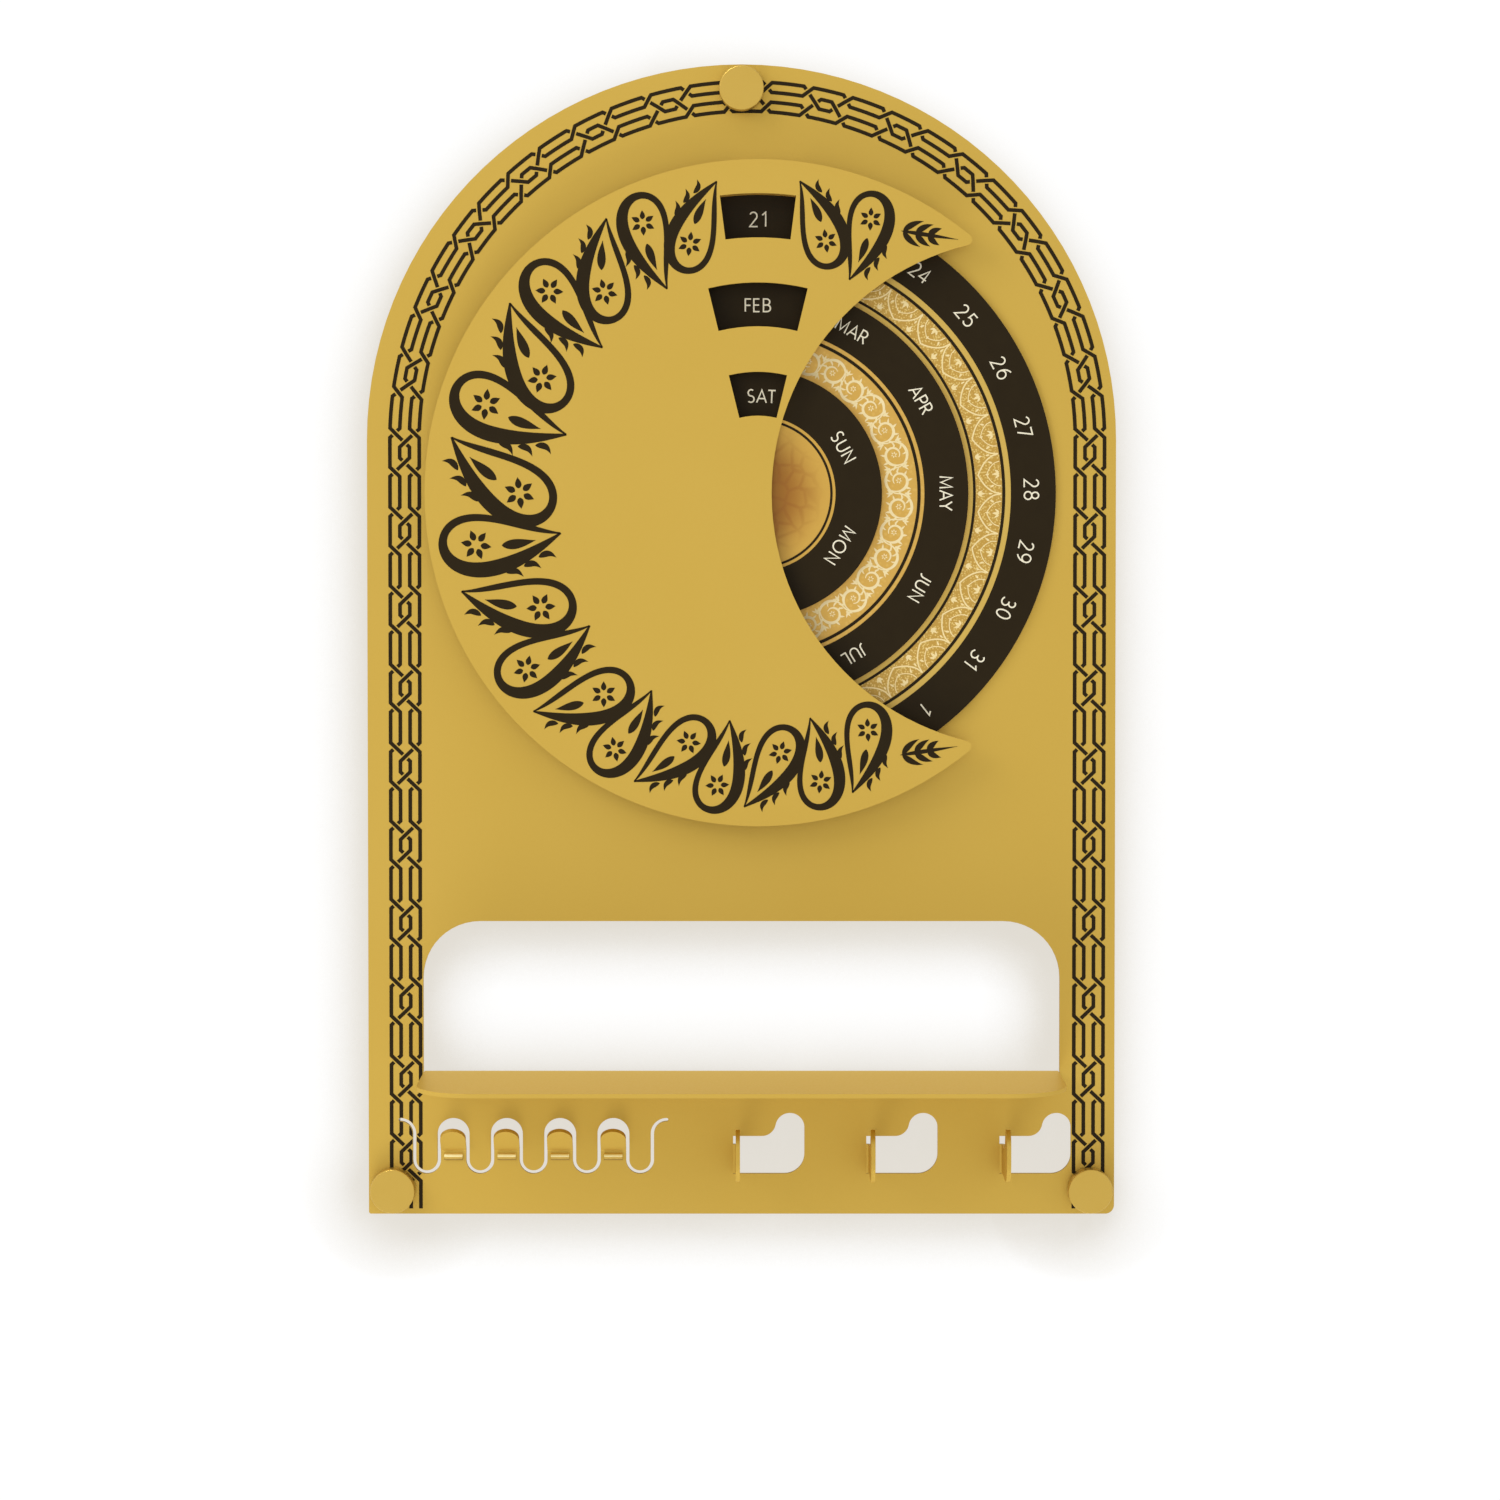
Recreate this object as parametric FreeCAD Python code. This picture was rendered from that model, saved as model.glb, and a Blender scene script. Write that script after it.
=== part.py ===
import FreeCAD, Part
import math
import os

# Wall calendar cut and folded from sheet metal. Millimetres, +Z up, +X to the right, front towards -Y.
# The wall is the plane y = 0. The origin is the wall hole of the top stand-off.

os.makedirs("parts", exist_ok=True)

# Panel
SHEET = 1.5
PANEL_WIDTH = 270.0
PANEL_HEIGHT = 415.0
EDGE_INSET = 9.0
LEFT_FOOT_RADIUS = 0.8
RIGHT_FOOT_RADIUS = 3.2
BEND_RADIUS = 1.0
KERF = 0.15

# Stand-offs
STANDOFF_RADIUS = 8.0
BARREL_LENGTH = 15.0
BARREL_BASE = 3.0
WALL_HOLE_RADIUS = 2.25
BARREL_BORE_RADIUS = 4.0
GASKET = 0.8
GASKET_RADIUS = 7.5
GASKET_HOLE_RADIUS = 4.1
CAP_THICKNESS = 5.0
CAP_RIM_RADIUS = 0.5
SHANK_RADIUS = 3.95
SHANK_END_Y = -8.0
PANEL_HOLE_RADIUS = 4.3
EDGE_BREAK = 0.3

# Shelf and the window that it is folded out of
WINDOW_WIDTH = 230.2
SHELF_WIDTH = 229.2
SHELF_TOP_Z = -353.9
WINDOW_TOP_Z = -299.7
SHELF_REACH = 54.0
SHELF_CORNER_RADIUS = 20.6
RELIEF_RADIUS = 0.7

# Comb of four small hooks, one wavy slot with its tongues bent forwards
TONGUE_COUNT = 4
FIRST_TONGUE_X = -104.3
LOOP_RADIUS = 5.2
VALLEY_RADIUS = 4.45
SLOT = 1.2
LOOP_Z = -377.0
VALLEY_Z = -386.4
TONGUE_BEND_Z = -383.4
TONGUE_ANGLE = 39.0
LEDGE_WIDTH = 6.6
LEDGE_RADIUS = 1.3
LEDGE_TOP_Z = -383.9

# Three flap hooks, each folded forwards about its left side
FLAP_COUNT = 3
FIRST_FLAP_X = -0.54
FLAP_PITCH = 48.25
FLAP_FOOT_Z = -391.4
FLAP_ARM_Z = -377.75
FLAP_RELIEF = 3.0
LOBE_X = 18.07
LOBE_Z = -374.6
LOBE_RADIUS = 5.24
ARM_FILLET_RADIUS = 5.06
FLAP_HEEL_RADIUS = 7.2

# Dials on one pivot
PIVOT_X = 5.9
PIVOT_Z = -145.2
DIAL = 1.0
DIAL_WASHER = 0.5
RUNNING_GAP = 0.05
DATE_RADIUS = 107.4
MONTH_RADIUS = 75.8
WEEKDAY_RADIUS = 44.7
SHOULDER_RADIUS = 2.5
DIAL_BORE_RADIUS = 2.55
WASHER_RADIUS = 8.0
WAVE_RADIUS = 4.4
WAVE_SPACE = 0.8
WAVE_STOCK = 0.3
WAVE_COUNT = 3
PIN_HEAD = 1.5
PIN_HEAD_RADIUS = 4.2
PIN_SHANK_RADIUS = 2.0
PIN_HOLE_RADIUS = 2.1
PIN_NUT_FLATS = 7.0
PIN_NUT = 3.2
PIN_WASHER = 0.8
PIN_WASHER_RADIUS = 4.5

# Crescent plate
MOON_GAP = 8.5
MOON_RADIUS = 119.3
BITE_OFFSET = 96.0
BITE_RADIUS = 91.1
TIP_RADIUS = 2.0
# Inner radius, outer radius and half angle of each reading window
READING_WINDOWS = {"date": (91.4, 107.2, 7.3), "month": (59.7, 75.4, 13.65), "weekday": (27.8, 43.5, 13.85)}
STUD_CIRCLE_RADIUS = 113.4
STUD_ANGLES = (32.0, 148.0, 212.0, 270.0, 328.0)
STUD_RADIUS = 1.5
STUD_HOLE_RADIUS = 1.7
SPACER_RADIUS = 3.0
SPACER_BORE_RADIUS = 1.6
STUD_WASHER = 0.5
STUD_WASHER_RADIUS = 3.5
STUD_NUT = 2.4
STUD_NUT_FLATS = 5.5
THREAD_END = 1.0

# Planes worked out from the stack
PANEL_BACK_Y = -(BARREL_LENGTH + GASKET)
PANEL_FRONT_Y = PANEL_BACK_Y - SHEET
CAP_SEAT_Y = PANEL_FRONT_Y - GASKET
MOON_BACK_Y = PANEL_FRONT_Y - MOON_GAP
DIAL_PITCH = DIAL_WASHER + DIAL + 2 * RUNNING_GAP
PANEL_TOP_Z = EDGE_INSET
PANEL_FOOT_Z = EDGE_INSET - PANEL_HEIGHT
ARCH_Z = PANEL_TOP_Z - PANEL_WIDTH / 2
STANDOFF_X = PANEL_WIDTH / 2 - EDGE_INSET
STANDOFFS = {
    "top": (0.0, 0.0),
    "left": (-STANDOFF_X, PANEL_FOOT_Z + EDGE_INSET),
    "right": (STANDOFF_X, PANEL_FOOT_Z + EDGE_INSET),
}
PIVOT = (PIVOT_X, PIVOT_Z)
FORWARD = FreeCAD.Vector(0, -1, 0)
X_AXIS = FreeCAD.Vector(1, 0, 0)
Z_AXIS = FreeCAD.Vector(0, 0, 1)


def at(place, y=0.0):
    """Point of the frame for a place given as (x, z)."""
    return FreeCAD.Vector(place[0], y, place[1])


def polar(centre, radius, degrees):
    """Place on a circle, with the angle clockwise from straight up."""
    turn = math.radians(degrees)
    return (centre[0] + radius * math.sin(turn), centre[1] + radius * math.cos(turn))


def line(start, end):
    return Part.LineSegment(at(start), at(end)).toShape()


def arc(start, middle, end):
    return Part.Arc(at(start), at(middle), at(end)).toShape()


def turn_arc(centre, radius, first, last):
    """Arc about a centre between two clockwise angles."""
    middle = (first + last) / 2
    return arc(polar(centre, radius, first), polar(centre, radius, middle), polar(centre, radius, last))


def slab(edges, back_y, thickness):
    """Flat plate bounded by edges drawn in the XZ plane, from back_y towards the front."""
    face = Part.Face(Part.Wire(edges))
    face.translate(FreeCAD.Vector(0, back_y, 0))
    return face.extrude(FORWARD * thickness)


def cylinder(place, radius, back_y, length):
    return Part.makeCylinder(radius, length, at(place, back_y), FORWARD)


def ring(place, outer, inner, back_y, length):
    return cylinder(place, outer, back_y, length).cut(cylinder(place, inner, back_y + 1, length + 2))


def hex_nut(place, flats, bore, back_y, thickness):
    """Hexagon nut with its front face towards the front and a plain bore."""
    corners = [polar(place, flats / math.sqrt(3), 30 + 60 * i) for i in range(6)]
    edges = [line(corners[i], corners[(i + 1) % 6]) for i in range(6)]
    blank = slab(edges, back_y, thickness)
    crown = cylinder(place, flats / math.sqrt(3), back_y, thickness)
    crown = crown.makeChamfer(thickness * 0.12, [crown.Edges[0], crown.Edges[2]])
    return blank.common(crown).cut(cylinder(place, bore, back_y + 1, thickness + 2))


def box(low, high):
    size = [high[i] - low[i] for i in range(3)]
    return Part.makeBox(size[0], size[1], size[2], FreeCAD.Vector(*low))


def join(shapes):
    """One solid from shapes that touch or overlap."""
    whole = shapes[0].multiFuse(shapes[1:]).removeSplitter()
    if whole.ShapeType == "Compound" and len(whole.Solids) == 1:
        return whole.Solids[0]
    return whole


def circular_edges(shape, y, radius):
    """Full circles of one radius that lie in the plane y."""
    found = []
    for edge in shape.Edges:
        circle = isinstance(edge.Curve, Part.Circle) and abs(edge.Curve.Radius - radius) < 1e-6
        if circle and abs(edge.CenterOfMass.y - y) < 1e-6:
            found.append(edge)
    return found


def panel_blank():
    """Flat arched plate before anything is cut out of it."""
    half = PANEL_WIDTH / 2
    left_corner = (-half + LEFT_FOOT_RADIUS, PANEL_FOOT_Z + LEFT_FOOT_RADIUS)
    right_corner = (half - RIGHT_FOOT_RADIUS, PANEL_FOOT_Z + RIGHT_FOOT_RADIUS)
    edges = [
        line((left_corner[0], PANEL_FOOT_Z), (right_corner[0], PANEL_FOOT_Z)),
        turn_arc(right_corner, RIGHT_FOOT_RADIUS, 180, 90),
        line((half, right_corner[1]), (half, ARCH_Z)),
        turn_arc((0, ARCH_Z), half, 90, -90),
        line((-half, ARCH_Z), (-half, left_corner[1])),
        turn_arc(left_corner, LEFT_FOOT_RADIUS, 270, 180),
    ]
    return slab(edges, PANEL_BACK_Y, SHEET)


def cutter(edges):
    """Punch through the panel with an outline in the XZ plane."""
    return slab(edges, PANEL_BACK_Y + 1, SHEET + 2)


def shelf_bend_z():
    """Height where the flat panel ends and the shelf's bend begins."""
    return SHELF_TOP_Z - SHEET - BEND_RADIUS


def shelf_window():
    half = WINDOW_WIDTH / 2
    foot = shelf_bend_z()
    radius = SHELF_CORNER_RADIUS
    shoulder = WINDOW_TOP_Z - radius
    edges = [
        line((-half, foot), (-half, shoulder)),
        turn_arc((-half + radius, shoulder), radius, -90, 0),
        line((-half + radius, WINDOW_TOP_Z), (half - radius, WINDOW_TOP_Z)),
        turn_arc((half - radius, shoulder), radius, 0, 90),
        line((half, shoulder), (half, foot)),
        line((half, foot), (-half, foot)),
    ]
    reliefs = [
        cylinder((side * (half - RELIEF_RADIUS), foot), RELIEF_RADIUS, PANEL_BACK_Y + 1, SHEET + 2)
        for side in (-1, 1)
    ]
    return [cutter(edges)] + reliefs


def bend_face(low, high):
    """Section of the sheet where a bend begins, as a face between two corners."""
    low = FreeCAD.Vector(*low)
    high = FreeCAD.Vector(*high)
    if low.z == high.z:
        corners = [low, FreeCAD.Vector(high.x, low.y, low.z), high, FreeCAD.Vector(low.x, high.y, low.z)]
    else:
        corners = [low, FreeCAD.Vector(low.x, high.y, low.z), high, FreeCAD.Vector(low.x, low.y, high.z)]
    return Part.Face(Part.makePolygon(corners + [corners[0]]))


def shelf():
    """Bend and flat of the shelf, folded forwards by a right angle."""
    half = SHELF_WIDTH / 2
    foot = shelf_bend_z()
    axis_y = PANEL_FRONT_Y - BEND_RADIUS
    section = bend_face((-half, PANEL_FRONT_Y, foot), (half, PANEL_BACK_Y, foot))
    bend = section.revolve(FreeCAD.Vector(0, axis_y, foot), X_AXIS, 90)
    front_y = PANEL_FRONT_Y - SHELF_REACH
    radius = SHELF_CORNER_RADIUS
    blank = box((-half, front_y, SHELF_TOP_Z - SHEET), (half, axis_y, SHELF_TOP_Z))
    corners = [
        edge for edge in blank.Edges
        if abs(edge.CenterOfMass.y - front_y) < 1e-6 and abs(abs(edge.CenterOfMass.x) - half) < 1e-6
    ]
    return [bend, blank.makeFillet(radius, corners)]


def tongue_x(index):
    return FIRST_TONGUE_X + index * 2 * (LOOP_RADIUS + VALLEY_RADIUS)


def straight_slot(x, low_z, high_z):
    half = SLOT / 2
    edges = [
        line((x - half, low_z), (x - half, high_z)),
        line((x - half, high_z), (x + half, high_z)),
        line((x + half, high_z), (x + half, low_z)),
        line((x + half, low_z), (x - half, low_z)),
    ]
    return cutter(edges)


def round_slot(centre, radius, first, last):
    """Slot along an arc about a centre, between two clockwise angles."""
    outer = radius + SLOT / 2
    inner = radius - SLOT / 2
    edges = [
        turn_arc(centre, outer, first, last),
        line(polar(centre, outer, last), polar(centre, inner, last)),
        turn_arc(centre, inner, last, first),
        line(polar(centre, inner, first), polar(centre, outer, first)),
    ]
    return cutter(edges)


def comb_cutters():
    """The wavy slot, and the space that each bent tongue leaves open."""
    cutters = []
    outer = LOOP_RADIUS + SLOT / 2
    for index in range(TONGUE_COUNT):
        x = tongue_x(index)
        edges = [
            line((x - outer, TONGUE_BEND_Z), (x - outer, LOOP_Z)),
            turn_arc((x, LOOP_Z), outer, -90, 90),
            line((x + outer, LOOP_Z), (x + outer, TONGUE_BEND_Z)),
            line((x + outer, TONGUE_BEND_Z), (x - outer, TONGUE_BEND_Z)),
        ]
        cutters.append(cutter(edges))
        for side in (-1, 1):
            cutters.append(straight_slot(x + side * LOOP_RADIUS, VALLEY_Z, TONGUE_BEND_Z + SLOT))
    for index in range(TONGUE_COUNT + 1):
        centre = (tongue_x(index) - LOOP_RADIUS - VALLEY_RADIUS, VALLEY_Z)
        cutters.append(round_slot(centre, VALLEY_RADIUS, 90, 270))
    for side, index in ((-1, 0), (1, TONGUE_COUNT - 1)):
        x = tongue_x(index) + side * (LOOP_RADIUS + 2 * VALLEY_RADIUS)
        centre = (x + side * LOOP_RADIUS, LOOP_Z)
        cutters.append(straight_slot(x, VALLEY_Z, LOOP_Z))
        cutters.append(round_slot(centre, LOOP_RADIUS, -side * 90, 0))
        cutters.append(cylinder((centre[0], LOOP_Z + LOOP_RADIUS), SLOT / 2, PANEL_BACK_Y + 1, SHEET + 2))
    return cutters


def tongue(index):
    """Bend and flat of one comb tongue, leaning forwards."""
    x = tongue_x(index)
    half = LOOP_RADIUS - SLOT / 2
    axis = FreeCAD.Vector(x, PANEL_FRONT_Y - BEND_RADIUS, TONGUE_BEND_Z)
    section = bend_face((x - half, PANEL_FRONT_Y, TONGUE_BEND_Z), (x + half, PANEL_BACK_Y, TONGUE_BEND_Z))
    bend = section.revolve(axis, X_AXIS, TONGUE_ANGLE)
    bend_length = math.radians(TONGUE_ANGLE) * (BEND_RADIUS + SHEET / 2)
    shoulder = LOOP_Z - bend_length
    edges = [
        line((x - half, TONGUE_BEND_Z), (x - half, shoulder)),
        turn_arc((x, shoulder), half, -90, 90),
        line((x + half, shoulder), (x + half, TONGUE_BEND_Z)),
        line((x + half, TONGUE_BEND_Z), (x - half, TONGUE_BEND_Z)),
    ]
    flat = slab(edges, PANEL_BACK_Y, SHEET)
    flat.rotate(axis, X_AXIS, TONGUE_ANGLE)
    return [bend, flat]


def flap_outline(root, foot_z, lobe_x, drop):
    """Outline of a flap hook: an arm, a concave sweep and a round lobe, with a rounded heel. The drop
    lowers the arm and the lobe."""
    arm_z = FLAP_ARM_Z - drop
    lobe_z = LOBE_Z - drop
    sweep_z = arm_z + ARM_FILLET_RADIUS
    reach = LOBE_RADIUS + ARM_FILLET_RADIUS
    rise = sweep_z - lobe_z
    sweep = (lobe_x - math.sqrt(reach ** 2 - rise ** 2), sweep_z)
    lean = math.degrees(math.atan2(sweep[0] - lobe_x, rise))
    end = lobe_x + LOBE_RADIUS
    heel = (end - FLAP_HEEL_RADIUS, foot_z + FLAP_HEEL_RADIUS)
    return [
        line((root, foot_z), (root, arm_z)),
        line((root, arm_z), (sweep[0], arm_z)),
        turn_arc(sweep, ARM_FILLET_RADIUS, 180, 180 + lean),
        turn_arc((lobe_x, lobe_z), LOBE_RADIUS, lean, 90),
        line((end, lobe_z), (end, heel[1])),
        turn_arc(heel, FLAP_HEEL_RADIUS, 90, 180),
        line((heel[0], foot_z), (root, foot_z)),
    ]


def flap_x(index):
    """Right-hand face of a folded flap."""
    return FIRST_FLAP_X + index * FLAP_PITCH


def flap_cutter(index):
    face_x = flap_x(index)
    root = face_x - SHEET - BEND_RADIUS
    return cutter(flap_outline(root, FLAP_FOOT_Z, face_x + LOBE_X, 0))


def flap(index):
    """Bend and flat of one flap hook, folded forwards about its left side. It is cut lower than its
    opening, so that it clears it along its top."""
    face_x = flap_x(index)
    root = face_x - SHEET - BEND_RADIUS
    axis_y = PANEL_FRONT_Y - BEND_RADIUS
    foot = FLAP_FOOT_Z + KERF
    arm = FLAP_ARM_Z - FLAP_RELIEF
    section = bend_face((root, PANEL_FRONT_Y, foot), (root, PANEL_BACK_Y, arm))
    bend = section.revolve(FreeCAD.Vector(root, axis_y, foot), Z_AXIS, -90)
    bend_length = math.pi / 2 * (BEND_RADIUS + SHEET / 2)
    lobe_reach = LOBE_X + SHEET + BEND_RADIUS - bend_length
    flat = slab(flap_outline(0, foot, lobe_reach, FLAP_RELIEF), 0, SHEET)
    flat.rotate(FreeCAD.Vector(0, 0, 0), Z_AXIS, -90)
    flat.translate(FreeCAD.Vector(face_x, axis_y, 0))
    return [bend, flat]


def stud_places():
    return [polar(PIVOT, STUD_CIRCLE_RADIUS, degrees) for degrees in STUD_ANGLES]


def back_panel():
    """Arched sheet with its shelf, flap hooks and comb tongues folded out of it."""
    holes = [cylinder(place, PANEL_HOLE_RADIUS, PANEL_BACK_Y + 1, SHEET + 2) for place in STANDOFFS.values()]
    holes += [cylinder(place, STUD_HOLE_RADIUS, PANEL_BACK_Y + 1, SHEET + 2) for place in stud_places()]
    holes.append(cylinder(PIVOT, PIN_HOLE_RADIUS, PANEL_BACK_Y + 1, SHEET + 2))
    holes += shelf_window()
    holes += comb_cutters()
    holes += [flap_cutter(index) for index in range(FLAP_COUNT)]
    folded = shelf()
    for index in range(TONGUE_COUNT):
        folded += tongue(index)
    for index in range(FLAP_COUNT):
        folded += flap(index)
    return join([panel_blank().cut(holes)] + folded)


def hook_ledges():
    """Half-round bar at the foot of each tongue, lying across the panel's face."""
    bars = []
    for index in range(TONGUE_COUNT):
        left = tongue_x(index) - LEDGE_WIDTH / 2
        axis_z = LEDGE_TOP_Z - LEDGE_RADIUS
        rod = Part.makeCylinder(LEDGE_RADIUS, LEDGE_WIDTH, FreeCAD.Vector(left, PANEL_FRONT_Y, axis_z), X_AXIS)
        front = box(
            (left - 1, PANEL_FRONT_Y - LEDGE_RADIUS - 1, axis_z - LEDGE_RADIUS - 1),
            (left + LEDGE_WIDTH + 1, PANEL_FRONT_Y, axis_z + LEDGE_RADIUS + 1),
        )
        bars.append(rod.common(front))
    return Part.makeCompound(bars)


def reading_window(inner, outer, half_angle):
    """Punch for one window of the crescent, a sector of a ring about the pivot."""
    edges = [
        turn_arc(PIVOT, outer, -half_angle, half_angle),
        line(polar(PIVOT, outer, half_angle), polar(PIVOT, inner, half_angle)),
        turn_arc(PIVOT, inner, half_angle, -half_angle),
        line(polar(PIVOT, inner, -half_angle), polar(PIVOT, outer, -half_angle)),
    ]
    return slab(edges, MOON_BACK_Y + 1, SHEET + 2)


def moon_plate():
    """Crescent: a disc about the pivot with a smaller disc bitten out of its right side."""
    disc = cylinder(PIVOT, MOON_RADIUS, MOON_BACK_Y, SHEET)
    bite = cylinder((PIVOT_X + BITE_OFFSET, PIVOT_Z), BITE_RADIUS, MOON_BACK_Y + 1, SHEET + 2)
    crescent = disc.cut(bite)
    tips = []
    for edge in crescent.Edges:
        middle = edge.CenterOfMass
        if isinstance(edge.Curve, Part.Line) and middle.x > PIVOT_X and abs(middle.z - PIVOT_Z) > 1:
            tips.append(edge)
    crescent = crescent.makeFillet(TIP_RADIUS, tips)
    return crescent.cut([reading_window(*window) for window in READING_WINDOWS.values()])


def stud_group(make):
    return Part.makeCompound([make(place) for place in stud_places()])


def moon_stud(place):
    """Threaded stud from the back of the crescent to behind its nut."""
    end_y = PANEL_BACK_Y + STUD_WASHER + STUD_NUT + THREAD_END
    stud = cylinder(place, STUD_RADIUS, end_y, end_y - MOON_BACK_Y)
    return stud.makeChamfer(EDGE_BREAK, circular_edges(stud, end_y, STUD_RADIUS))


def moon_spacer(place):
    return ring(place, SPACER_RADIUS, SPACER_BORE_RADIUS, PANEL_FRONT_Y, MOON_GAP)


def moon_washer(place):
    return ring(place, STUD_WASHER_RADIUS, STUD_RADIUS, PANEL_BACK_Y + STUD_WASHER, STUD_WASHER)


def moon_nut(place):
    back_y = PANEL_BACK_Y + STUD_WASHER + STUD_NUT
    return hex_nut(place, STUD_NUT_FLATS, STUD_RADIUS, back_y, STUD_NUT)


def dial_back_y(level):
    """Back face of the washer that starts a dial's level, counted from the panel."""
    return PANEL_FRONT_Y - level * DIAL_PITCH


def dial(level, radius):
    back_y = dial_back_y(level) - DIAL_WASHER - RUNNING_GAP
    return ring(PIVOT, radius, DIAL_BORE_RADIUS, back_y, DIAL)


def dial_washer(level):
    return ring(PIVOT, WASHER_RADIUS, SHOULDER_RADIUS, dial_back_y(level), DIAL_WASHER)


def wave_loop(radius, back_y):
    """Closed curve at one radius that rises and falls along the axis."""
    swing = (WAVE_SPACE - WAVE_STOCK) / 2 - RUNNING_GAP
    middle_y = back_y - WAVE_SPACE / 2 + WAVE_STOCK / 2
    steps = 8 * WAVE_COUNT
    points = []
    for step in range(steps):
        turn = 360.0 * step / steps
        place = polar(PIVOT, radius, turn)
        points.append(at(place, middle_y + swing * math.cos(math.radians(WAVE_COUNT * turn))))
    curve = Part.BSplineCurve()
    curve.interpolate(Points=points, PeriodicFlag=True)
    return Part.Wire(curve.toShape())


def wave_washer():
    """Thin spring washer with three waves between the weekday dial and the pin's head."""
    back_y = dial_back_y(3) - RUNNING_GAP / 2
    inner = wave_loop(SHOULDER_RADIUS + RUNNING_GAP, back_y)
    outer = wave_loop(WAVE_RADIUS, back_y)
    face = Part.makeRuledSurface(inner, outer)
    return face.extrude(FORWARD * WAVE_STOCK)


def pivot_pin():
    """Shoulder pin: thin head in front, shoulder through the dials, threaded shank behind."""
    head_back_y = dial_back_y(3) - RUNNING_GAP - WAVE_SPACE
    end_y = PANEL_BACK_Y + PIN_WASHER + PIN_NUT + THREAD_END
    head = cylinder(PIVOT, PIN_HEAD_RADIUS, head_back_y, PIN_HEAD)
    head = head.makeFillet(PIN_HEAD / 2, circular_edges(head, head_back_y - PIN_HEAD, PIN_HEAD_RADIUS))
    shoulder = cylinder(PIVOT, SHOULDER_RADIUS, PANEL_FRONT_Y, PANEL_FRONT_Y - head_back_y)
    shank = cylinder(PIVOT, PIN_SHANK_RADIUS, end_y, end_y - PANEL_FRONT_Y)
    shank = shank.makeChamfer(EDGE_BREAK, circular_edges(shank, end_y, PIN_SHANK_RADIUS))
    return join([head, shoulder, shank])


def pivot_washer():
    return ring(PIVOT, PIN_WASHER_RADIUS, PIN_SHANK_RADIUS, PANEL_BACK_Y + PIN_WASHER, PIN_WASHER)


def pivot_nut():
    return hex_nut(PIVOT, PIN_NUT_FLATS, PIN_SHANK_RADIUS, PANEL_BACK_Y + PIN_WASHER + PIN_NUT, PIN_NUT)


def standoff_barrel(place):
    """Turned body: closed base with the wall hole, open front that takes the cap's shank."""
    body = cylinder(place, STANDOFF_RADIUS, 0, BARREL_LENGTH)
    rims = circular_edges(body, 0, STANDOFF_RADIUS) + circular_edges(body, -BARREL_LENGTH, STANDOFF_RADIUS)
    body = body.makeChamfer(EDGE_BREAK, rims)
    socket = cylinder(place, BARREL_BORE_RADIUS, -BARREL_BASE, BARREL_LENGTH)
    wall_hole = cylinder(place, WALL_HOLE_RADIUS, 1, BARREL_BASE + 2)
    return body.cut([socket, wall_hole])


def standoff_cap(place):
    """Turned head with a rounded rim and its threaded shank in one piece."""
    head = cylinder(place, STANDOFF_RADIUS, CAP_SEAT_Y, CAP_THICKNESS)
    front_y = CAP_SEAT_Y - CAP_THICKNESS
    head = head.makeFillet(CAP_RIM_RADIUS, circular_edges(head, front_y, STANDOFF_RADIUS))
    head = head.makeChamfer(EDGE_BREAK, circular_edges(head, CAP_SEAT_Y, STANDOFF_RADIUS))
    shank = cylinder(place, SHANK_RADIUS, SHANK_END_Y, SHANK_END_Y - CAP_SEAT_Y)
    shank = shank.makeChamfer(EDGE_BREAK, circular_edges(shank, SHANK_END_Y, SHANK_RADIUS))
    return join([head, shank])


def rear_gasket(place):
    return ring(place, GASKET_RADIUS, GASKET_HOLE_RADIUS, PANEL_BACK_Y + GASKET, GASKET)


def front_gasket(place):
    return ring(place, GASKET_RADIUS, GASKET_HOLE_RADIUS, PANEL_FRONT_Y, GASKET)


NODES = {
    "back_panel": back_panel(),
    "hook_ledges": hook_ledges(),
    "moon_plate": moon_plate(),
    "moon_studs": stud_group(moon_stud),
    "moon_spacers": stud_group(moon_spacer),
    "moon_washers": stud_group(moon_washer),
    "moon_nuts": stud_group(moon_nut),
    "date_washer": dial_washer(0),
    "date_dial": dial(0, DATE_RADIUS),
    "month_washer": dial_washer(1),
    "month_dial": dial(1, MONTH_RADIUS),
    "weekday_washer": dial_washer(2),
    "weekday_dial": dial(2, WEEKDAY_RADIUS),
    "wave_washer": wave_washer(),
    "pivot_pin": pivot_pin(),
    "pivot_washer": pivot_washer(),
    "pivot_nut": pivot_nut(),
}
for side, side_place in STANDOFFS.items():
    NODES[side + "_barrel"] = standoff_barrel(side_place)
    NODES[side + "_rear_gasket"] = rear_gasket(side_place)
    NODES[side + "_front_gasket"] = front_gasket(side_place)
    NODES[side + "_cap"] = standoff_cap(side_place)

for node, shape in NODES.items():
    sound = shape.isValid() and all(solid.isClosed() for solid in shape.Solids)
    print(node, len(shape.Solids), "solids", round(shape.Volume, 1), "mm3", "sound" if sound else "BROKEN")
    shape.exportStep("parts/" + node + ".step")
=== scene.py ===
"""Sheet metal wall calendar: its prints, lettering, finishes and stage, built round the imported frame.

Everything is in metres, +Z up, front towards -Y. A flat print lies in the XZ plane and is given by its
edges there, then it gets its thickness towards -Y.
"""

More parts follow.
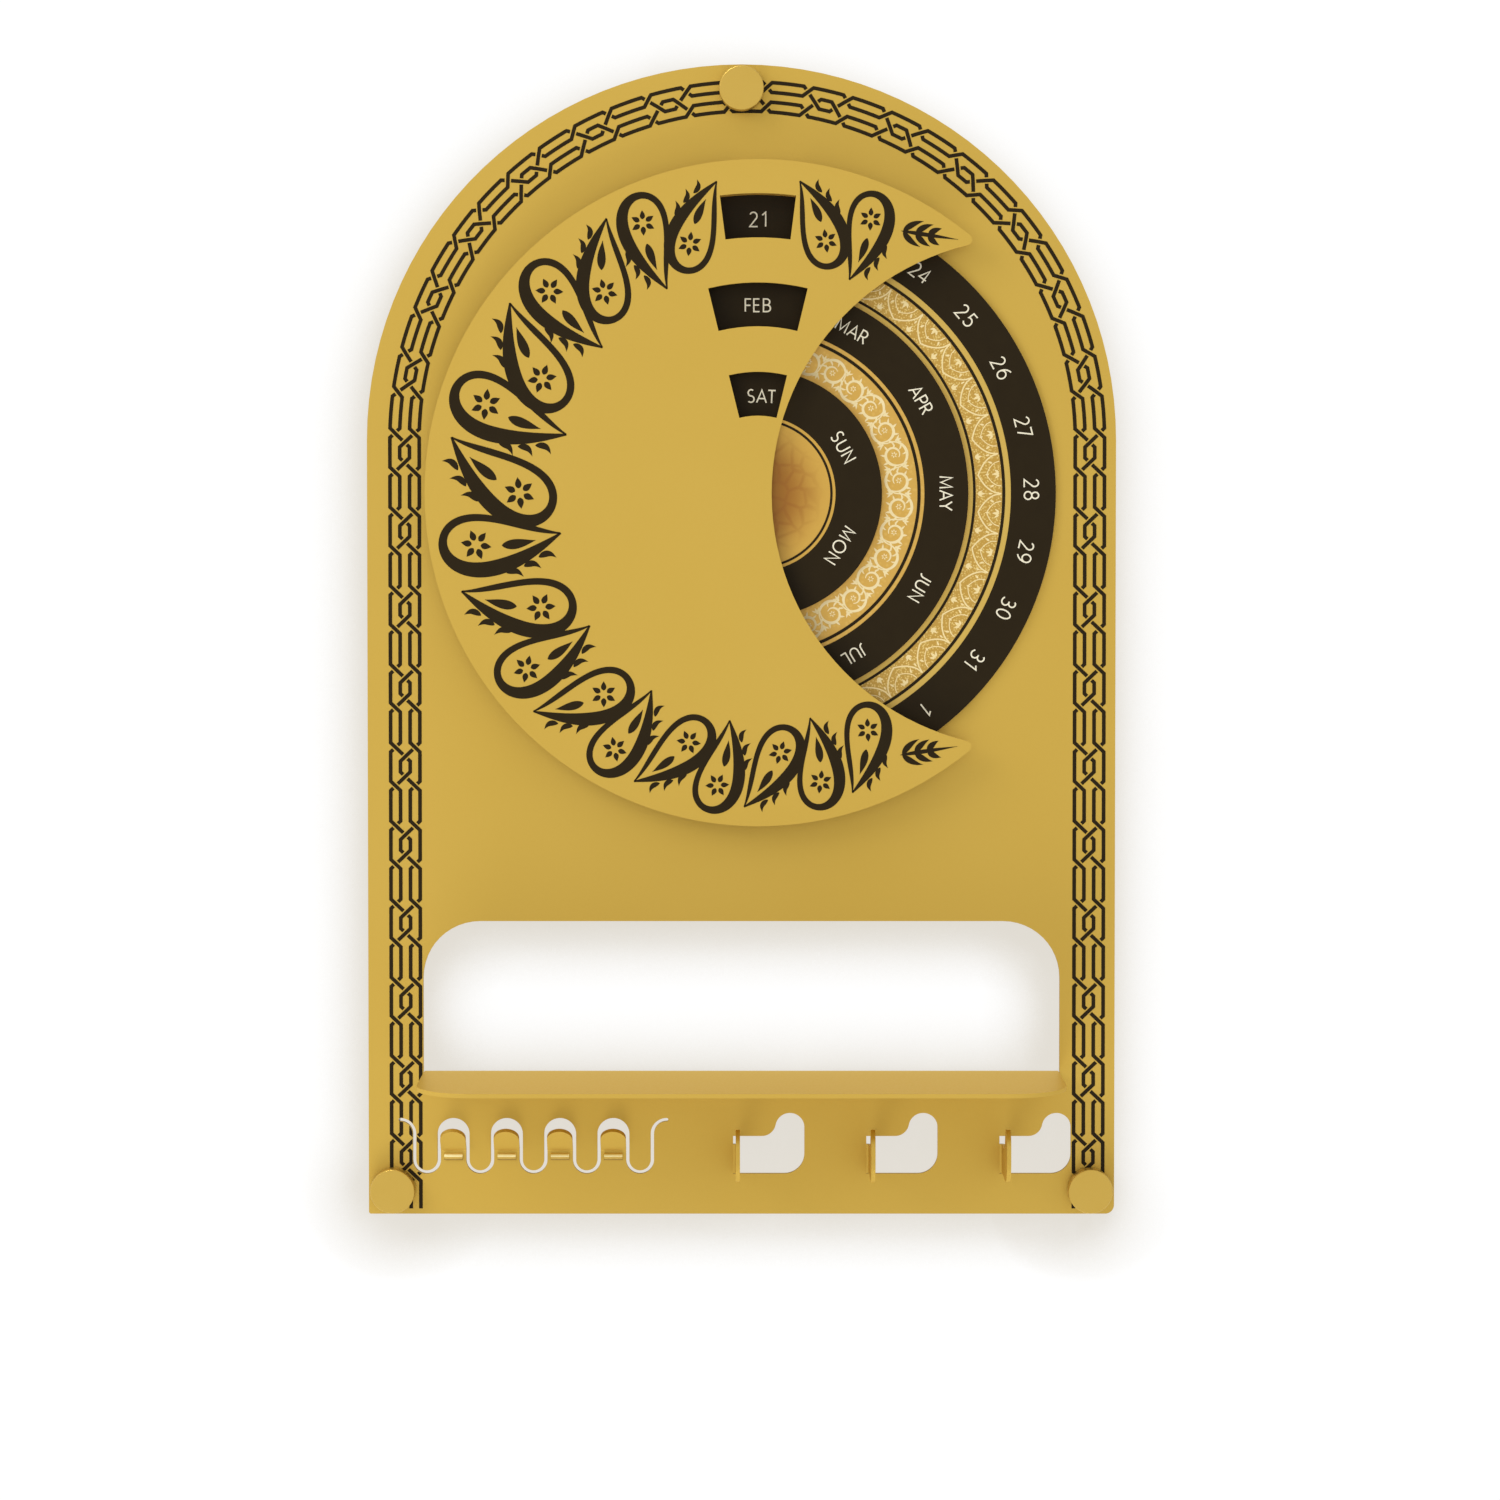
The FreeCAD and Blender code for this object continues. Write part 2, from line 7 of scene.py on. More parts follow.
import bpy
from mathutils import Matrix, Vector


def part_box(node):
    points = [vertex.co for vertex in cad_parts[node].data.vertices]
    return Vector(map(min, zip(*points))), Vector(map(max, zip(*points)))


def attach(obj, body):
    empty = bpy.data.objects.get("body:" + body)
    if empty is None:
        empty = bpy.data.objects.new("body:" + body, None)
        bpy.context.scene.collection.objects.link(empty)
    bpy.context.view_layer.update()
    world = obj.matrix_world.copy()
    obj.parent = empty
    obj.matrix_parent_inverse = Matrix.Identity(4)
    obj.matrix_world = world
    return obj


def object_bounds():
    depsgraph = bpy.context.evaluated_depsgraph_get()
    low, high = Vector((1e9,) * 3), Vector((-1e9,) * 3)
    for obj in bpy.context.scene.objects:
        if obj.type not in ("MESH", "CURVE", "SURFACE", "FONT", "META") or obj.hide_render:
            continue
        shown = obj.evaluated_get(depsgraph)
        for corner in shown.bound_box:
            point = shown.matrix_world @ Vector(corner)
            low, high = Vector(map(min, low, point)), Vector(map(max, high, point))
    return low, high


bl_info = {
    "name": "Sheet Metal Wall Calendar",
    "version": (1, 0, 0),
    "blender": (4, 5, 0),
    "location": "3D View > Sidebar > Calendar",
    "description": "Prints, lettering, finishes and stage of a wall calendar with three dials",
    "category": "Add Mesh",
}

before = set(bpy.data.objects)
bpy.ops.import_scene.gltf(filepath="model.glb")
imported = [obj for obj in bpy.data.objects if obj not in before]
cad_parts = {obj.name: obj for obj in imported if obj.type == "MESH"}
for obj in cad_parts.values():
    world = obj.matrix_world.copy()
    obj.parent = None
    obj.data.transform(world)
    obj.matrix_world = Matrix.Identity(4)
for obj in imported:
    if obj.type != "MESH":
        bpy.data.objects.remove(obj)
CAD_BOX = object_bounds()

import math
from functools import cache

import bpy
import numpy as np
from bpy.props import FloatProperty, FloatVectorProperty, IntProperty, PointerProperty

MM = 0.001


def hex_colour(code):
    """Linear RGBA of an sRGB hex value, by the sRGB transfer curve."""
    channels = [int(code[i:i + 2], 16) / 255 for i in (1, 3, 5)]
    linear = [c / 12.92 if c <= 0.04045 else ((c + 0.055) / 1.055) ** 2.4 for c in channels]
    return (*linear, 1.0)


def front_of(node):
    """The y of a node's front face."""
    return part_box(node)[0].y


def middle_of(node):
    """The middle of a node's box, as (x, z)."""
    low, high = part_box(node)
    return np.array(((low.x + high.x) / 2, (low.z + high.z) / 2))


# Places read from the frame
PANEL_LOW, PANEL_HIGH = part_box("back_panel")
PANEL_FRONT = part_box("top_front_gasket")[1].y
PANEL_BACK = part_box("top_rear_gasket")[0].y
ARCH_Z = PANEL_HIGH.z - (PANEL_HIGH.x - PANEL_LOW.x) / 2
PIVOT = middle_of("date_dial")
MOON_FRONT = front_of("moon_plate")
MOON_RADIUS = PIVOT[0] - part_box("moon_plate")[0].x
DIALS = ("date_dial", "month_dial", "weekday_dial")

# The circle that bites into the crescent: how far its middle lies right of the pivot, and its radius
BITE_OFFSET, BITE_RADIUS = 96.0 * MM, 91.1 * MM


def length_setting(name, description, millimetres):
    """A length that a user can change."""
    return FloatProperty(
        name=name, description=description, default=millimetres * MM, unit="LENGTH", precision=5)


def power_setting(name, description, watts):
    """A lamp's power that a user can change."""
    return FloatProperty(name=name, description=description, default=watts, min=0.0, unit="POWER")


def colour_setting(name, description, code):
    """A colour that a user can change."""
    return FloatVectorProperty(
        name=name, description=description, default=hex_colour(code), size=4, subtype="COLOR")


class PrintSettings(bpy.types.PropertyGroup):
    """Sizes of what is printed on the panel and the crescent."""

    ink: length_setting("Ink thickness", "Height of a print above its sheet", 0.08)
    knot_line: length_setting("Knot line", "Width of a strand of the knot border", 1.34)
    knot_track: length_setting(
        "Knot track", "Distance between two of the four tracks that strands run in", 3.52)
    knot_run: length_setting(
        "Knot run", "Length of the stretch where all four strands run straight", 11.03)
    knot_turn: length_setting("Knot turn", "Length in which a strand crosses two tracks", 6.72)
    knot_side: length_setting(
        "Knot hexagon side", "Straight side of the small hexagon between two crossings", 3.87)
    knot_gap: length_setting(
        "Knot gap", "Clear gap on each side of the strand that passes over", 0.42)
    border_radius: length_setting(
        "Border radius", "Radius of the border's middle line round the arch", 123.5)
    border_shift: length_setting(
        "Border shift", "How far the border is printed to the right of the panel's middle", 2.06)
    border_foot: length_setting(
        "Border foot", "Height above the panel's foot where the border starts", 1.9)
    garland_margin: length_setting(
        "Garland margin", "Plain rim between the crescent's edge and its ornament", 3.2)
    garland_width: length_setting(
        "Garland width", "Width of the ornament beside the reading window", 33.0)
    garland_swell: length_setting(
        "Garland swell", "How much wider the ornament is at the crescent's middle", 12.0)
    garland_step: FloatProperty(
        name="Garland step", description="Distance between two paisleys, as a share of their half height",
        default=1.04, min=0.5)
    garland_lean: FloatProperty(
        name="Garland lean", description="How far the paisleys lean along the garland",
        default=0.36, subtype="ANGLE")


class DialSettings(bpy.types.PropertyGroup):
    """Sizes of what is printed on the three dials."""

    date_size: length_setting("Date size", "Height of the date numbers", 5.65)
    name_size: length_setting("Name size", "Cap height of the month and weekday names", 5.05)
    pen: length_setting("Pen", "Width of the strokes of the lettering", 0.52)
    scroll_count: IntProperty(
        name="Scrolls", description="Number of scrolls round the month dial, an even number",
        default=34, min=4, step=2)
    arch_count: IntProperty(
        name="Arches", description="Number of filigree arches round the date dial, an even number",
        default=38, min=6, step=2)


class ColourSettings(bpy.types.PropertyGroup):
    """Colours of the finishes and prints."""

    gold: colour_setting("Gold coat", "Satin gold of the panel and the crescent", "#cba94f")
    gold_deep: colour_setting(
        "Gold coat, deep", "Where the gold coat lies a little thicker", "#c8a549")
    ink: colour_setting("Ink", "Brown black of the screen prints", "#231a0a")
    cream: colour_setting("Cream", "Lettering on the dials", "#ebe4cd")


class StageSettings(bpy.types.PropertyGroup):
    """Camera and lamps."""

    distance: FloatProperty(
        name="Camera distance", description="From the panel's front to the camera",
        default=1.301, unit="LENGTH")
    lens: FloatProperty(
        name="Lens", description="Focal length", default=86.56, unit="CAMERA")
    pitch: FloatProperty(
        name="Camera pitch", description="How far the camera looks down",
        default=math.radians(1.51), subtype="ANGLE")
    level: FloatProperty(
        name="Light level", description="Strength of the even light from the front and the wall",
        default=0.62, min=0.0)
    side_level: FloatProperty(
        name="Side light level", description="Strength of the even light from the sides, above and below",
        default=1.05, min=0.0)
    key: power_setting("Key lamp", "Power of the large soft lamp above the camera, to its left", 11.0)
    fill: power_setting(
        "Fill lamp", "Power of the soft lamp below the camera, as a pale floor throws back", 8.0)
    glint: power_setting(
        "Glint lamp", "Power of the small lamp high up that only shows as a gleam on rounded edges", 6.0)
    floor_drop: FloatProperty(
        name="Floor drop", description="How far the floor lies below the object",
        default=0.6, unit="LENGTH")


# Flat forms, each a closed prism between two edges


def ribbon(path, half_width, closed=False):
    """Two edges of a line: the path moved to each side along its normal by the half width over the cosine
    of half the turn there, which mitres its corners, and by no more than twice the half width."""
    if closed:
        ahead = np.roll(path, -1, axis=0) - path
        behind = path - np.roll(path, 1, axis=0)
    else:
        step = np.diff(path, axis=0)
        ahead = np.vstack([step, step[-1:]])
        behind = np.vstack([step[:1], step])
    ahead = ahead / np.linalg.norm(ahead, axis=1, keepdims=True)
    behind = behind / np.linalg.norm(behind, axis=1, keepdims=True)
    middle = ahead + behind
    middle /= np.linalg.norm(middle, axis=1, keepdims=True)
    normal = np.column_stack([-middle[:, 1], middle[:, 0]])
    mitre = 1 / np.maximum(0.5, (middle * ahead).sum(1))
    offset = normal * (np.broadcast_to(half_width, len(path)) * mitre)[:, None]
    return path + offset, path - offset


def prism(left, right, back_y, height, closed=False):
    """Closed solid between two edges: each station is a rectangle with its corners on the left and right
    edge, at the back and at the front, and neighbouring rectangles are joined by four quads."""
    stations = np.empty((len(left), 4, 3))
    stations[:, (0, 3), ::2] = left[:, None]
    stations[:, (1, 2), ::2] = right[:, None]
    stations[:, :2, 1] = back_y
    stations[:, 2:, 1] = back_y - height
    index = np.arange(len(left) * 4).reshape(-1, 4)
    ends = [index[0], index[-1, ::-1]]
    following = np.roll(index, -1, axis=0)
    if not closed:
        index, following = index[:-1], following[:-1]
    turned, turned_following = np.roll(index, -1, axis=1), np.roll(following, -1, axis=1)
    faces = np.stack([following, turned_following, turned, index], axis=-1).reshape(-1, 4)
    return stations.reshape(-1, 3), faces if closed else np.vstack([faces, ends])


class Print:
    """Collects prisms that lie on one plane and makes them one mesh."""

    def __init__(self, plane_y, height):
        self.plane_y = plane_y
        self.height = height
        self.points = []
        self.faces = []
        self.count = 0

    def line(self, path, half_width, closed=False, layer=0):
        """Takes a line. Each layer is a tenth thinner than the one before, so that lines can cross."""
        left, right = ribbon(path, half_width, closed)
        points, faces = prism(left, right, self.plane_y, self.height * (1 - 0.1 * layer), closed)
        self.faces.extend((faces + self.count).tolist())
        self.points.append(points)
        self.count += len(points)

    def strokes(self, strokes, lower=0.0):
        """Takes lines given as (points, half widths, layer), all of them some layers lower."""
        for path, width, layer in strokes:
            self.line(path, width, layer=layer + lower)

    def piece(self, name, material, body, slot):
        """Object of all the lines, riding on a body and taking the given material. The slot is not used."""
        mesh = bpy.data.meshes.new(name)
        mesh.from_pydata(np.vstack(self.points).tolist(), [], self.faces)
        mesh.update()
        mesh.materials.append(material)
        piece = bpy.data.objects.new(name, mesh)
        bpy.context.scene.collection.objects.link(piece)
        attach(piece, body)
        return piece


def towards(angle):
    """Unit vector at an angle, anticlockwise from the right."""
    return np.array((math.cos(angle), math.sin(angle)))


def outwards(turn):
    """Unit vector at a turn, clockwise from straight up."""
    return np.array((math.sin(turn), math.cos(turn)))


def circle(centre, radius, steps):
    """Points evenly round a circle, clockwise from straight up."""
    turn = np.linspace(0, 2 * math.pi, steps, endpoint=False)
    return centre + radius * np.column_stack([np.sin(turn), np.cos(turn)])


def arc(centre, radius, start, end, steps):
    """Points on an arc, or on a spiral where the radius is an array."""
    angle = np.linspace(start, end, steps)
    ahead = np.column_stack([np.cos(angle), np.sin(angle)])
    return np.asarray(centre) + ahead * np.reshape(radius, (-1, 1))


def wrap(points, centre, radius):
    """Bends a strip round a circle: the first coordinate runs clockwise along the circle, starting
    straight up, and the second is the height outside it."""
    turn = points[:, 0] / radius
    reach = radius + points[:, 1]
    return centre + np.column_stack([reach * np.sin(turn), reach * np.cos(turn)])


# Knot border


def knot_strands(track, turn, run, side, gap):
    """One period of a flat four-strand knot, as corners of (along, across) for each strand between the two
    places where it dips under another. Two strands swap across two tracks through the middle, and each
    outer strand steps one track in and out again, so that every strand goes over and under in turn."""
    a, b, c, d = 1.5 * track, 0.5 * track, -0.5 * track, -1.5 * track
    half = side / 2
    first = half + turn
    second = first + run
    period = second + first
    back = np.array((period, 0.0))
    fall_c, fall_a = np.array([(half, c), (first, a)])
    rise_a, rise_c = np.array([(second, a), (second + turn, c)])
    fall_b, fall_d = np.array([(half, b), (first, d)])
    rise_d, rise_b = np.array([(second, d), (second + turn, b)])
    out_b, out_a = np.array([(second, b), (second + turn / 2, a)])
    in_d, in_c = np.array([(half + turn / 2, d), (first, c)])

    def on(start, end, share):
        """Point at a share of the way from one corner to another."""
        return start + (end - start) * share

    long_gap, short_gap = gap / turn, 2 * gap / turn
    strands = [
        [on(rise_a - back, rise_c - back, 0.75 + long_gap), rise_c - back, fall_c,
         on(fall_c, fall_a, 0.75 - long_gap)],
        [on(fall_c, fall_a, 0.75 + long_gap), fall_a, rise_a, on(rise_a, rise_c, 0.75 - long_gap)],
        [on(rise_d - back, rise_b - back, 0.25 + long_gap), rise_b - back, fall_b,
         on(fall_b, fall_d, 0.25 - long_gap)],
        [on(fall_b, fall_d, 0.25 + long_gap), fall_d, rise_d, on(rise_d, rise_b, 0.25 - long_gap)],
        [on(out_b - back, out_a - back, 0.5 + short_gap), out_a - back, (half + turn / 2, a),
         (first, b), out_b, on(out_b, out_a, 0.5 - short_gap)],
        [on(in_d, in_c, 0.5 + short_gap), in_c, (second, c), (second + turn / 2, d), in_d + back,
         on(in_d + back, in_c + back, 0.5 - short_gap)],
    ]
    return period, [np.array(strand) for strand in strands]


def border_place(along, across, settings):
    """Places of the border: up the left side, round the arch and down the right side. Along is counted
    from the top of the arch, across is positive towards the panel's edge."""
    radius = settings.border_radius
    quarter = math.pi / 2 * radius
    turn = np.clip(along, -quarter, quarter) / radius
    past = np.maximum(0, np.abs(along) - quarter)
    x = settings.border_shift + (radius + across) * np.sin(turn)
    z = ARCH_Z + (radius + across) * np.cos(turn) - past
    return np.column_stack([x, z])


# Longest step along the border, and how near to a corner a step may come
BORDER_STEP, CORNER_CLEAR = 2.5 * MM, 0.4 * MM


def border_stations(corners, start, end):
    """Places along a strand between two ends: its corners, and even steps where no corner is near."""
    corners = corners[(corners > start) & (corners < end)]
    steps = np.linspace(start, end, 2 + int((end - start) / BORDER_STEP))
    clear = np.abs(steps[:, None] - corners[None, :]).min(1, initial=1.0) > CORNER_CLEAR
    clear[[0, -1]] = True
    return np.sort(np.concatenate([steps[clear], corners]))


# Radii of the comb's slot at its loops and valleys, half the width of a small bar, how far the loops'
# middles lie above the bars' crests and the valleys' middles below them, and half the width kept free of
# print. The cutter starts behind the panel's front.
LOOP_RADIUS, VALLEY_RADIUS = 5.2 * MM, 4.45 * MM
BAR_HALF_WIDTH = 3.3 * MM
LOOP_RISE, VALLEY_DROP = 6.9 * MM, 2.5 * MM
SLOT_CLEAR = 0.75 * MM
CUTTER_BEHIND, CUTTER_DEPTH = 1.0 * MM, 4.0 * MM


def comb_slot_path():
    """Middle line of the comb's first bend, where its slot cuts through the border: a quarter turn, a
    straight and a half turn. Its places follow from the comb's first small bar."""
    low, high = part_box("hook_ledges")
    straight_x = low.x + BAR_HALF_WIDTH - LOOP_RADIUS - 2 * VALLEY_RADIUS
    upper = arc((straight_x - LOOP_RADIUS, high.z + LOOP_RISE), LOOP_RADIUS, math.pi / 2, 0, 13)
    lower = arc((straight_x + VALLEY_RADIUS, high.z - VALLEY_DROP), VALLEY_RADIUS, -math.pi, 0, 25)
    return np.vstack([upper, lower])


def cut_away(piece, cutter):
    """Takes the cutter's solid out of a piece and drops the cutter."""
    cut = piece.modifiers.new("slot", "BOOLEAN")
    cut.operation = "DIFFERENCE"
    cut.solver = "EXACT"
    cut.object = cutter
    graph = bpy.context.evaluated_depsgraph_get()
    mesh = bpy.data.meshes.new_from_object(piece.evaluated_get(graph))
    piece.modifiers.clear()
    piece.data = mesh
    bpy.data.objects.remove(cutter)


class CALENDAR_OT_border_knot(bpy.types.Operator):
    """Print the knot border round the panel"""

    bl_idname = "calendar.border_knot"
    bl_label = "Knot border"

    def execute(self, context):
        settings = context.scene.calendar_print
        gap = (settings.knot_gap + settings.knot_line / 2) * math.cos(math.radians(45))
        period, strands = knot_strands(
            settings.knot_track, settings.knot_turn, settings.knot_run, settings.knot_side, gap)
        foot = ARCH_Z - (PANEL_LOW.z + settings.border_foot)
        reach = math.pi / 2 * settings.border_radius + foot
        border = Print(PANEL_FRONT, settings.ink)
        count = math.ceil(reach / period) + 1
        for repeat in range(-count, count + 1):
            for strand in strands:
                corners, tracks = strand[:, 0] + repeat * period, strand[:, 1]
                start, end = max(corners[0], -reach), min(corners[-1], reach)
                if end - start >= settings.knot_line:
                    along = border_stations(corners, start, end)
                    across = np.interp(along, corners, tracks)
                    border.line(border_place(-along, across, settings), settings.knot_line / 2)
        piece = border.piece("border_knot", black_ink(), "panel", "gold_coat")
        slot = Print(PANEL_FRONT + CUTTER_BEHIND, CUTTER_DEPTH)
        slot.line(comb_slot_path(), SLOT_CLEAR)
        cut_away(piece, slot.piece("slot_cutter", black_ink(), "panel", "gold_coat"))
        return {"FINISHED"}


# Strokes that the ornaments share


PETAL_STEPS = 24
PETAL_SHARE = np.linspace(0, 1, PETAL_STEPS + 1)


def eased_width(profile, size, steps):
    """Half widths along a stroke, from pairs of (share of its length, share of a size), with a smooth step
    between two pairs: three times the square of the share less twice its cube."""
    shares, widths = np.array(profile).T
    share = np.linspace(0, 1, steps)
    part = np.clip(np.searchsorted(shares, share, side="right") - 1, 0, len(shares) - 2)
    local = (share - shares[part]) / (shares[part + 1] - shares[part])
    local = local * local * (3 - 2 * local)
    return size * (widths[part] * (1 - local) + widths[part + 1] * local)


def petal_width(half_width):
    """Half width times the sine of pi times the share of the length to the power 0.7, so that a petal is
    fullest nearer its root. Its ends stay a little wide."""
    return half_width * np.maximum(np.sin(math.pi * PETAL_SHARE ** 0.7), 0.06)


def petal(root, heading, bend, length, half_width):
    """Petal along a line that bends evenly: the running sum of short steps whose heading grows by the bend
    in all. Gives points and half widths."""
    angle = heading + bend * (np.arange(PETAL_STEPS) + 0.5) / PETAL_STEPS
    step = np.column_stack([np.cos(angle), np.sin(angle)]) * length / PETAL_STEPS
    return root + np.vstack([(0.0, 0.0), np.cumsum(step, axis=0)]), petal_width(half_width)


def blossom(centre, radius, start):
    """Six petals round a small open middle. Gives (points, half widths, layer)."""
    strokes = []
    for heading in np.arange(6) * math.pi / 3 + start:
        root = centre + 0.30 * radius * towards(heading)
        strokes.append((*petal(root, heading, 0.0, 0.72 * radius, 0.21 * radius), 3))
    return strokes


# Vine scroll of the month dial


# Half widths of the vine's stem and branches, as (share of the length, share of the stem's weight)
STEM_PROFILE = ((0, 0.4), (0.5, 0.95), (1, 0.4))
BRANCH_PROFILE = ((0, 0.3), (0.25, 0.95), (0.7, 0.65), (1, 0.3))
STEM_STEPS, BRANCH_STEPS = 40, 90

# How far round its circle before the joint a branch leaves the stem, and how far it turns from there
BRANCH_LEAD, BRANCH_TURN = 0.7, math.radians(345)

# Leaves of one circle of the vine: (share of its radius, degrees on from where the branch leaves, degrees
# outward from the running direction, bend in degrees, length and half width as shares of its radius)
VINE_LEAVES = (
    (0.86, 40, 42, -12, 0.44, 0.085),
    (0.73, 84, 52, -12, 0.46, 0.085),
    (0.64, 128, 58, -12, 0.46, 0.080),
    (0.57, 172, 62, -12, 0.44, 0.075),
    (0.50, 222, 60, 10, 0.34, 0.065),
    (0.95, -140, -42, 75, 0.44, 0.065),
    (0.95, -98, -42, 75, 0.48, 0.070),
    (0.95, -56, -42, 65, 0.40, 0.060),
)

# Petals on each side of a joint: (distance from it as a share of a circle's radius, lean and bend in
# radians, length and half width as shares of the radius, layer)
SPRAY_PETALS = (
    (0.46, 0.0, 0.0, 0.54, 0.10, 3),
    (0.62, -0.95, 0.3, 0.44, 0.065, 4),
    (0.62, 0.95, -0.3, 0.44, 0.065, 4),
)


def vine_strokes(centres, radius, weight):
    """Running vine, closed in a ring: a stem of arcs that passes circles set edge to edge on alternate
    sides, a branch that leaves it and curls up round a flower inside each circle, leaves on the branch,
    and a spray of petals in each gap beside the joint of two circles. Gives (points, half widths, layer)."""
    strokes = []
    for index, centre in enumerate(centres):
        turn = -1 if index % 2 else 1
        back = centres[index - 1] - centre
        ahead = centres[(index + 1) % len(centres)] - centre
        arrive = math.atan2(back[1], back[0])
        leave = math.atan2(ahead[1], ahead[0])
        sweep = turn * (turn * (leave - arrive) % (2 * math.pi))
        stem = arc(centre, radius, arrive, arrive + sweep, STEM_STEPS)
        strokes.append((stem, eased_width(STEM_PROFILE, weight, STEM_STEPS), 0))
        strokes += curl(centre, radius, arrive + sweep - turn * BRANCH_LEAD, turn, weight)
        strokes += spray(centre + ahead * radius / np.linalg.norm(ahead), leave, radius)
    return strokes


def curl(centre, radius, start, turn, weight):
    """Branch that winds in from a circle's edge to a flower at its middle: its distance from the middle
    falls by the share of its way to the power 0.55. Leaves grow from it and from the stem, on places given
    round the circle."""
    reach = radius * (1.0 - 0.60 * np.linspace(0, 1, BRANCH_STEPS) ** 0.55)
    branch = arc(centre, reach, start, start + turn * BRANCH_TURN, BRANCH_STEPS)
    strokes = [(branch, eased_width(BRANCH_PROFILE, weight, BRANCH_STEPS), 1)]
    for index, (place, on, out, bend, length, half_width) in enumerate(VINE_LEAVES):
        angle = start + turn * math.radians(on)
        root = centre + place * radius * towards(angle)
        heading = angle + turn * (math.pi / 2 - math.radians(out))
        leaf = petal(root, heading, turn * math.radians(bend), length * radius, half_width * radius)
        strokes.append((*leaf, 2 + index / 10))
    return strokes + blossom(centre, 0.25 * radius, start)


def spray(joint, along, size):
    """Three petals on each side of a joint, the middle one straight out to the edge of the vine."""
    strokes = []
    for out in (along - math.pi / 2, along + math.pi / 2):
        for place, lean, bend, length, half_width, layer in SPRAY_PETALS:
            root = joint + place * size * towards(out)
            strokes.append((*petal(root, out + lean, bend, length * size, half_width * size), layer))
    return strokes


# Paisley garland of the crescent


# Angle over which the garland swells, turn at which it starts beside the reading window, turn past its
# tips, step in which its pace is summed, and the least half width that has room for anything
SWELL_ANGLE = 0.95
GARLAND_START = math.radians(8.6)
GARLAND_END = 4.2
TURN_STEP = 0.001
LEAST_HALF_WIDTH = 5.0 * MM

# Half width of the band below which a sprig takes a paisley's place, and a paisley's share of the half width
SMALLEST_PAISLEY = 9.0 * MM
PAISLEY_SHARE = 0.95


def crescent_band(turn, settings):
    """Inner and outer radius of the crescent's ornament at a clockwise angle from straight up. It swells
    towards the crescent's middle, and it ends where the bite's circle comes near the outer rim."""
    outer = MOON_RADIUS - settings.garland_margin
    swell = settings.garland_swell * np.exp(-((turn + math.pi / 2) / SWELL_ANGLE) ** 2)
    inner = outer - settings.garland_width - swell
    reach = BITE_OFFSET * np.sin(turn)
    root = np.sqrt(np.maximum(reach ** 2 - BITE_OFFSET ** 2 + BITE_RADIUS ** 2, 0))
    bitten = (root > 0) & (reach > 0)
    return np.where(bitten, np.maximum(inner, reach + root + settings.garland_margin), inner), outer


def garland_places(direction, settings):
    """Places along the crescent's band, each as far from the next as the band is wide there, as (clockwise
    angle, radius, half width). The pace is the running sum of the way over the band's half width."""
    turn = direction * np.arange(GARLAND_START, GARLAND_END, TURN_STEP)
    inner, outer = crescent_band(turn, settings)
    half = (outer - inner) / 2
    way = TURN_STEP * (inner + outer) / 2
    pace = np.cumsum(way / (settings.garland_step * np.maximum(half, LEAST_HALF_WIDTH)))
    places = []
    while True:
        at, ahead = np.searchsorted(pace, (len(places) + 0.5, len(places) + 1.0))
        if ahead >= len(turn) or half[ahead] < LEAST_HALF_WIDTH:
            return places
        room = min(half[at], half[ahead])
        places.append((turn[at], outer - room, room))


# Half width of a paisley's line, as (share of its length, share of its fullest), and its steps
PAISLEY_PROFILE = ((0, 0.10), (0.2, 0.42), (0.45, 0.5), (0.75, 1.0), (1, 0.12))
PAISLEY_STEPS = 90

# Roots of the petals along a paisley's back, as shares of its half height
PAISLEY_PETALS = ((-0.32, 0.68), (-0.43, 0.45), (-0.51, 0.17))


def paisley_strokes(place, up, half_height, side):
    """Paisley with its tip towards up. Its outline is x = 0.62 sin t times sin(t / 2) to the power 1.25 and
    y = cos t, with the tip swept to the side and the line swollen along its back. It has a flower in its
    bulb, a drop above it and petals along its back. Gives (points, half widths, layer)."""
    right = np.array((up[1], -up[0])) * side

    def laid(path):
        """Places of points given as shares of the half height, with the sweep of the tip."""
        swept = path[:, 0] + 0.42 * ((1 + path[:, 1]) / 2) ** 2.6
        return place + half_height * (swept[:, None] * right + path[:, 1:] * up)

    turn = np.linspace(0.16, 2 * math.pi - 0.10, PAISLEY_STEPS)
    outline = np.column_stack([0.62 * np.sin(turn) * np.sin(turn / 2) ** 1.25, np.cos(turn)])
    strokes = [(laid(outline), eased_width(PAISLEY_PROFILE, 0.135 * half_height, PAISLEY_STEPS), 0)]
    share = PETAL_SHARE
    drop = np.column_stack([-0.02 + 0.02 * share, 0.02 + 0.56 * share])
    strokes.append((laid(drop), petal_width(0.085 * half_height), 2))
    strokes += blossom(laid(np.array([(-0.02, -0.42)]))[0], 0.26 * half_height, math.atan2(up[1], up[0]))
    for root in PAISLEY_PETALS:
        bow = np.column_stack([-0.10 * share + 0.07 * np.sin(math.pi * share), 0.30 * share])
        strokes.append((laid(root + bow), petal_width(0.055 * half_height), 3))
    return strokes


def crescent_tip(direction):
    """Corner where the bite's circle meets the outer rim, on the garland's clockwise or other end."""
    across = (MOON_RADIUS ** 2 + BITE_OFFSET ** 2 - BITE_RADIUS ** 2) / (2 * BITE_OFFSET)
    return PIVOT + np.array((across, direction * math.sqrt(MOON_RADIUS ** 2 - across ** 2)))


# Pairs of leaves on the sprig, as (place on the stem, length), both as shares of the way to the tip
SPRIG_LEAVES = ((0.04, 0.40), (0.26, 0.34), (0.48, 0.26))


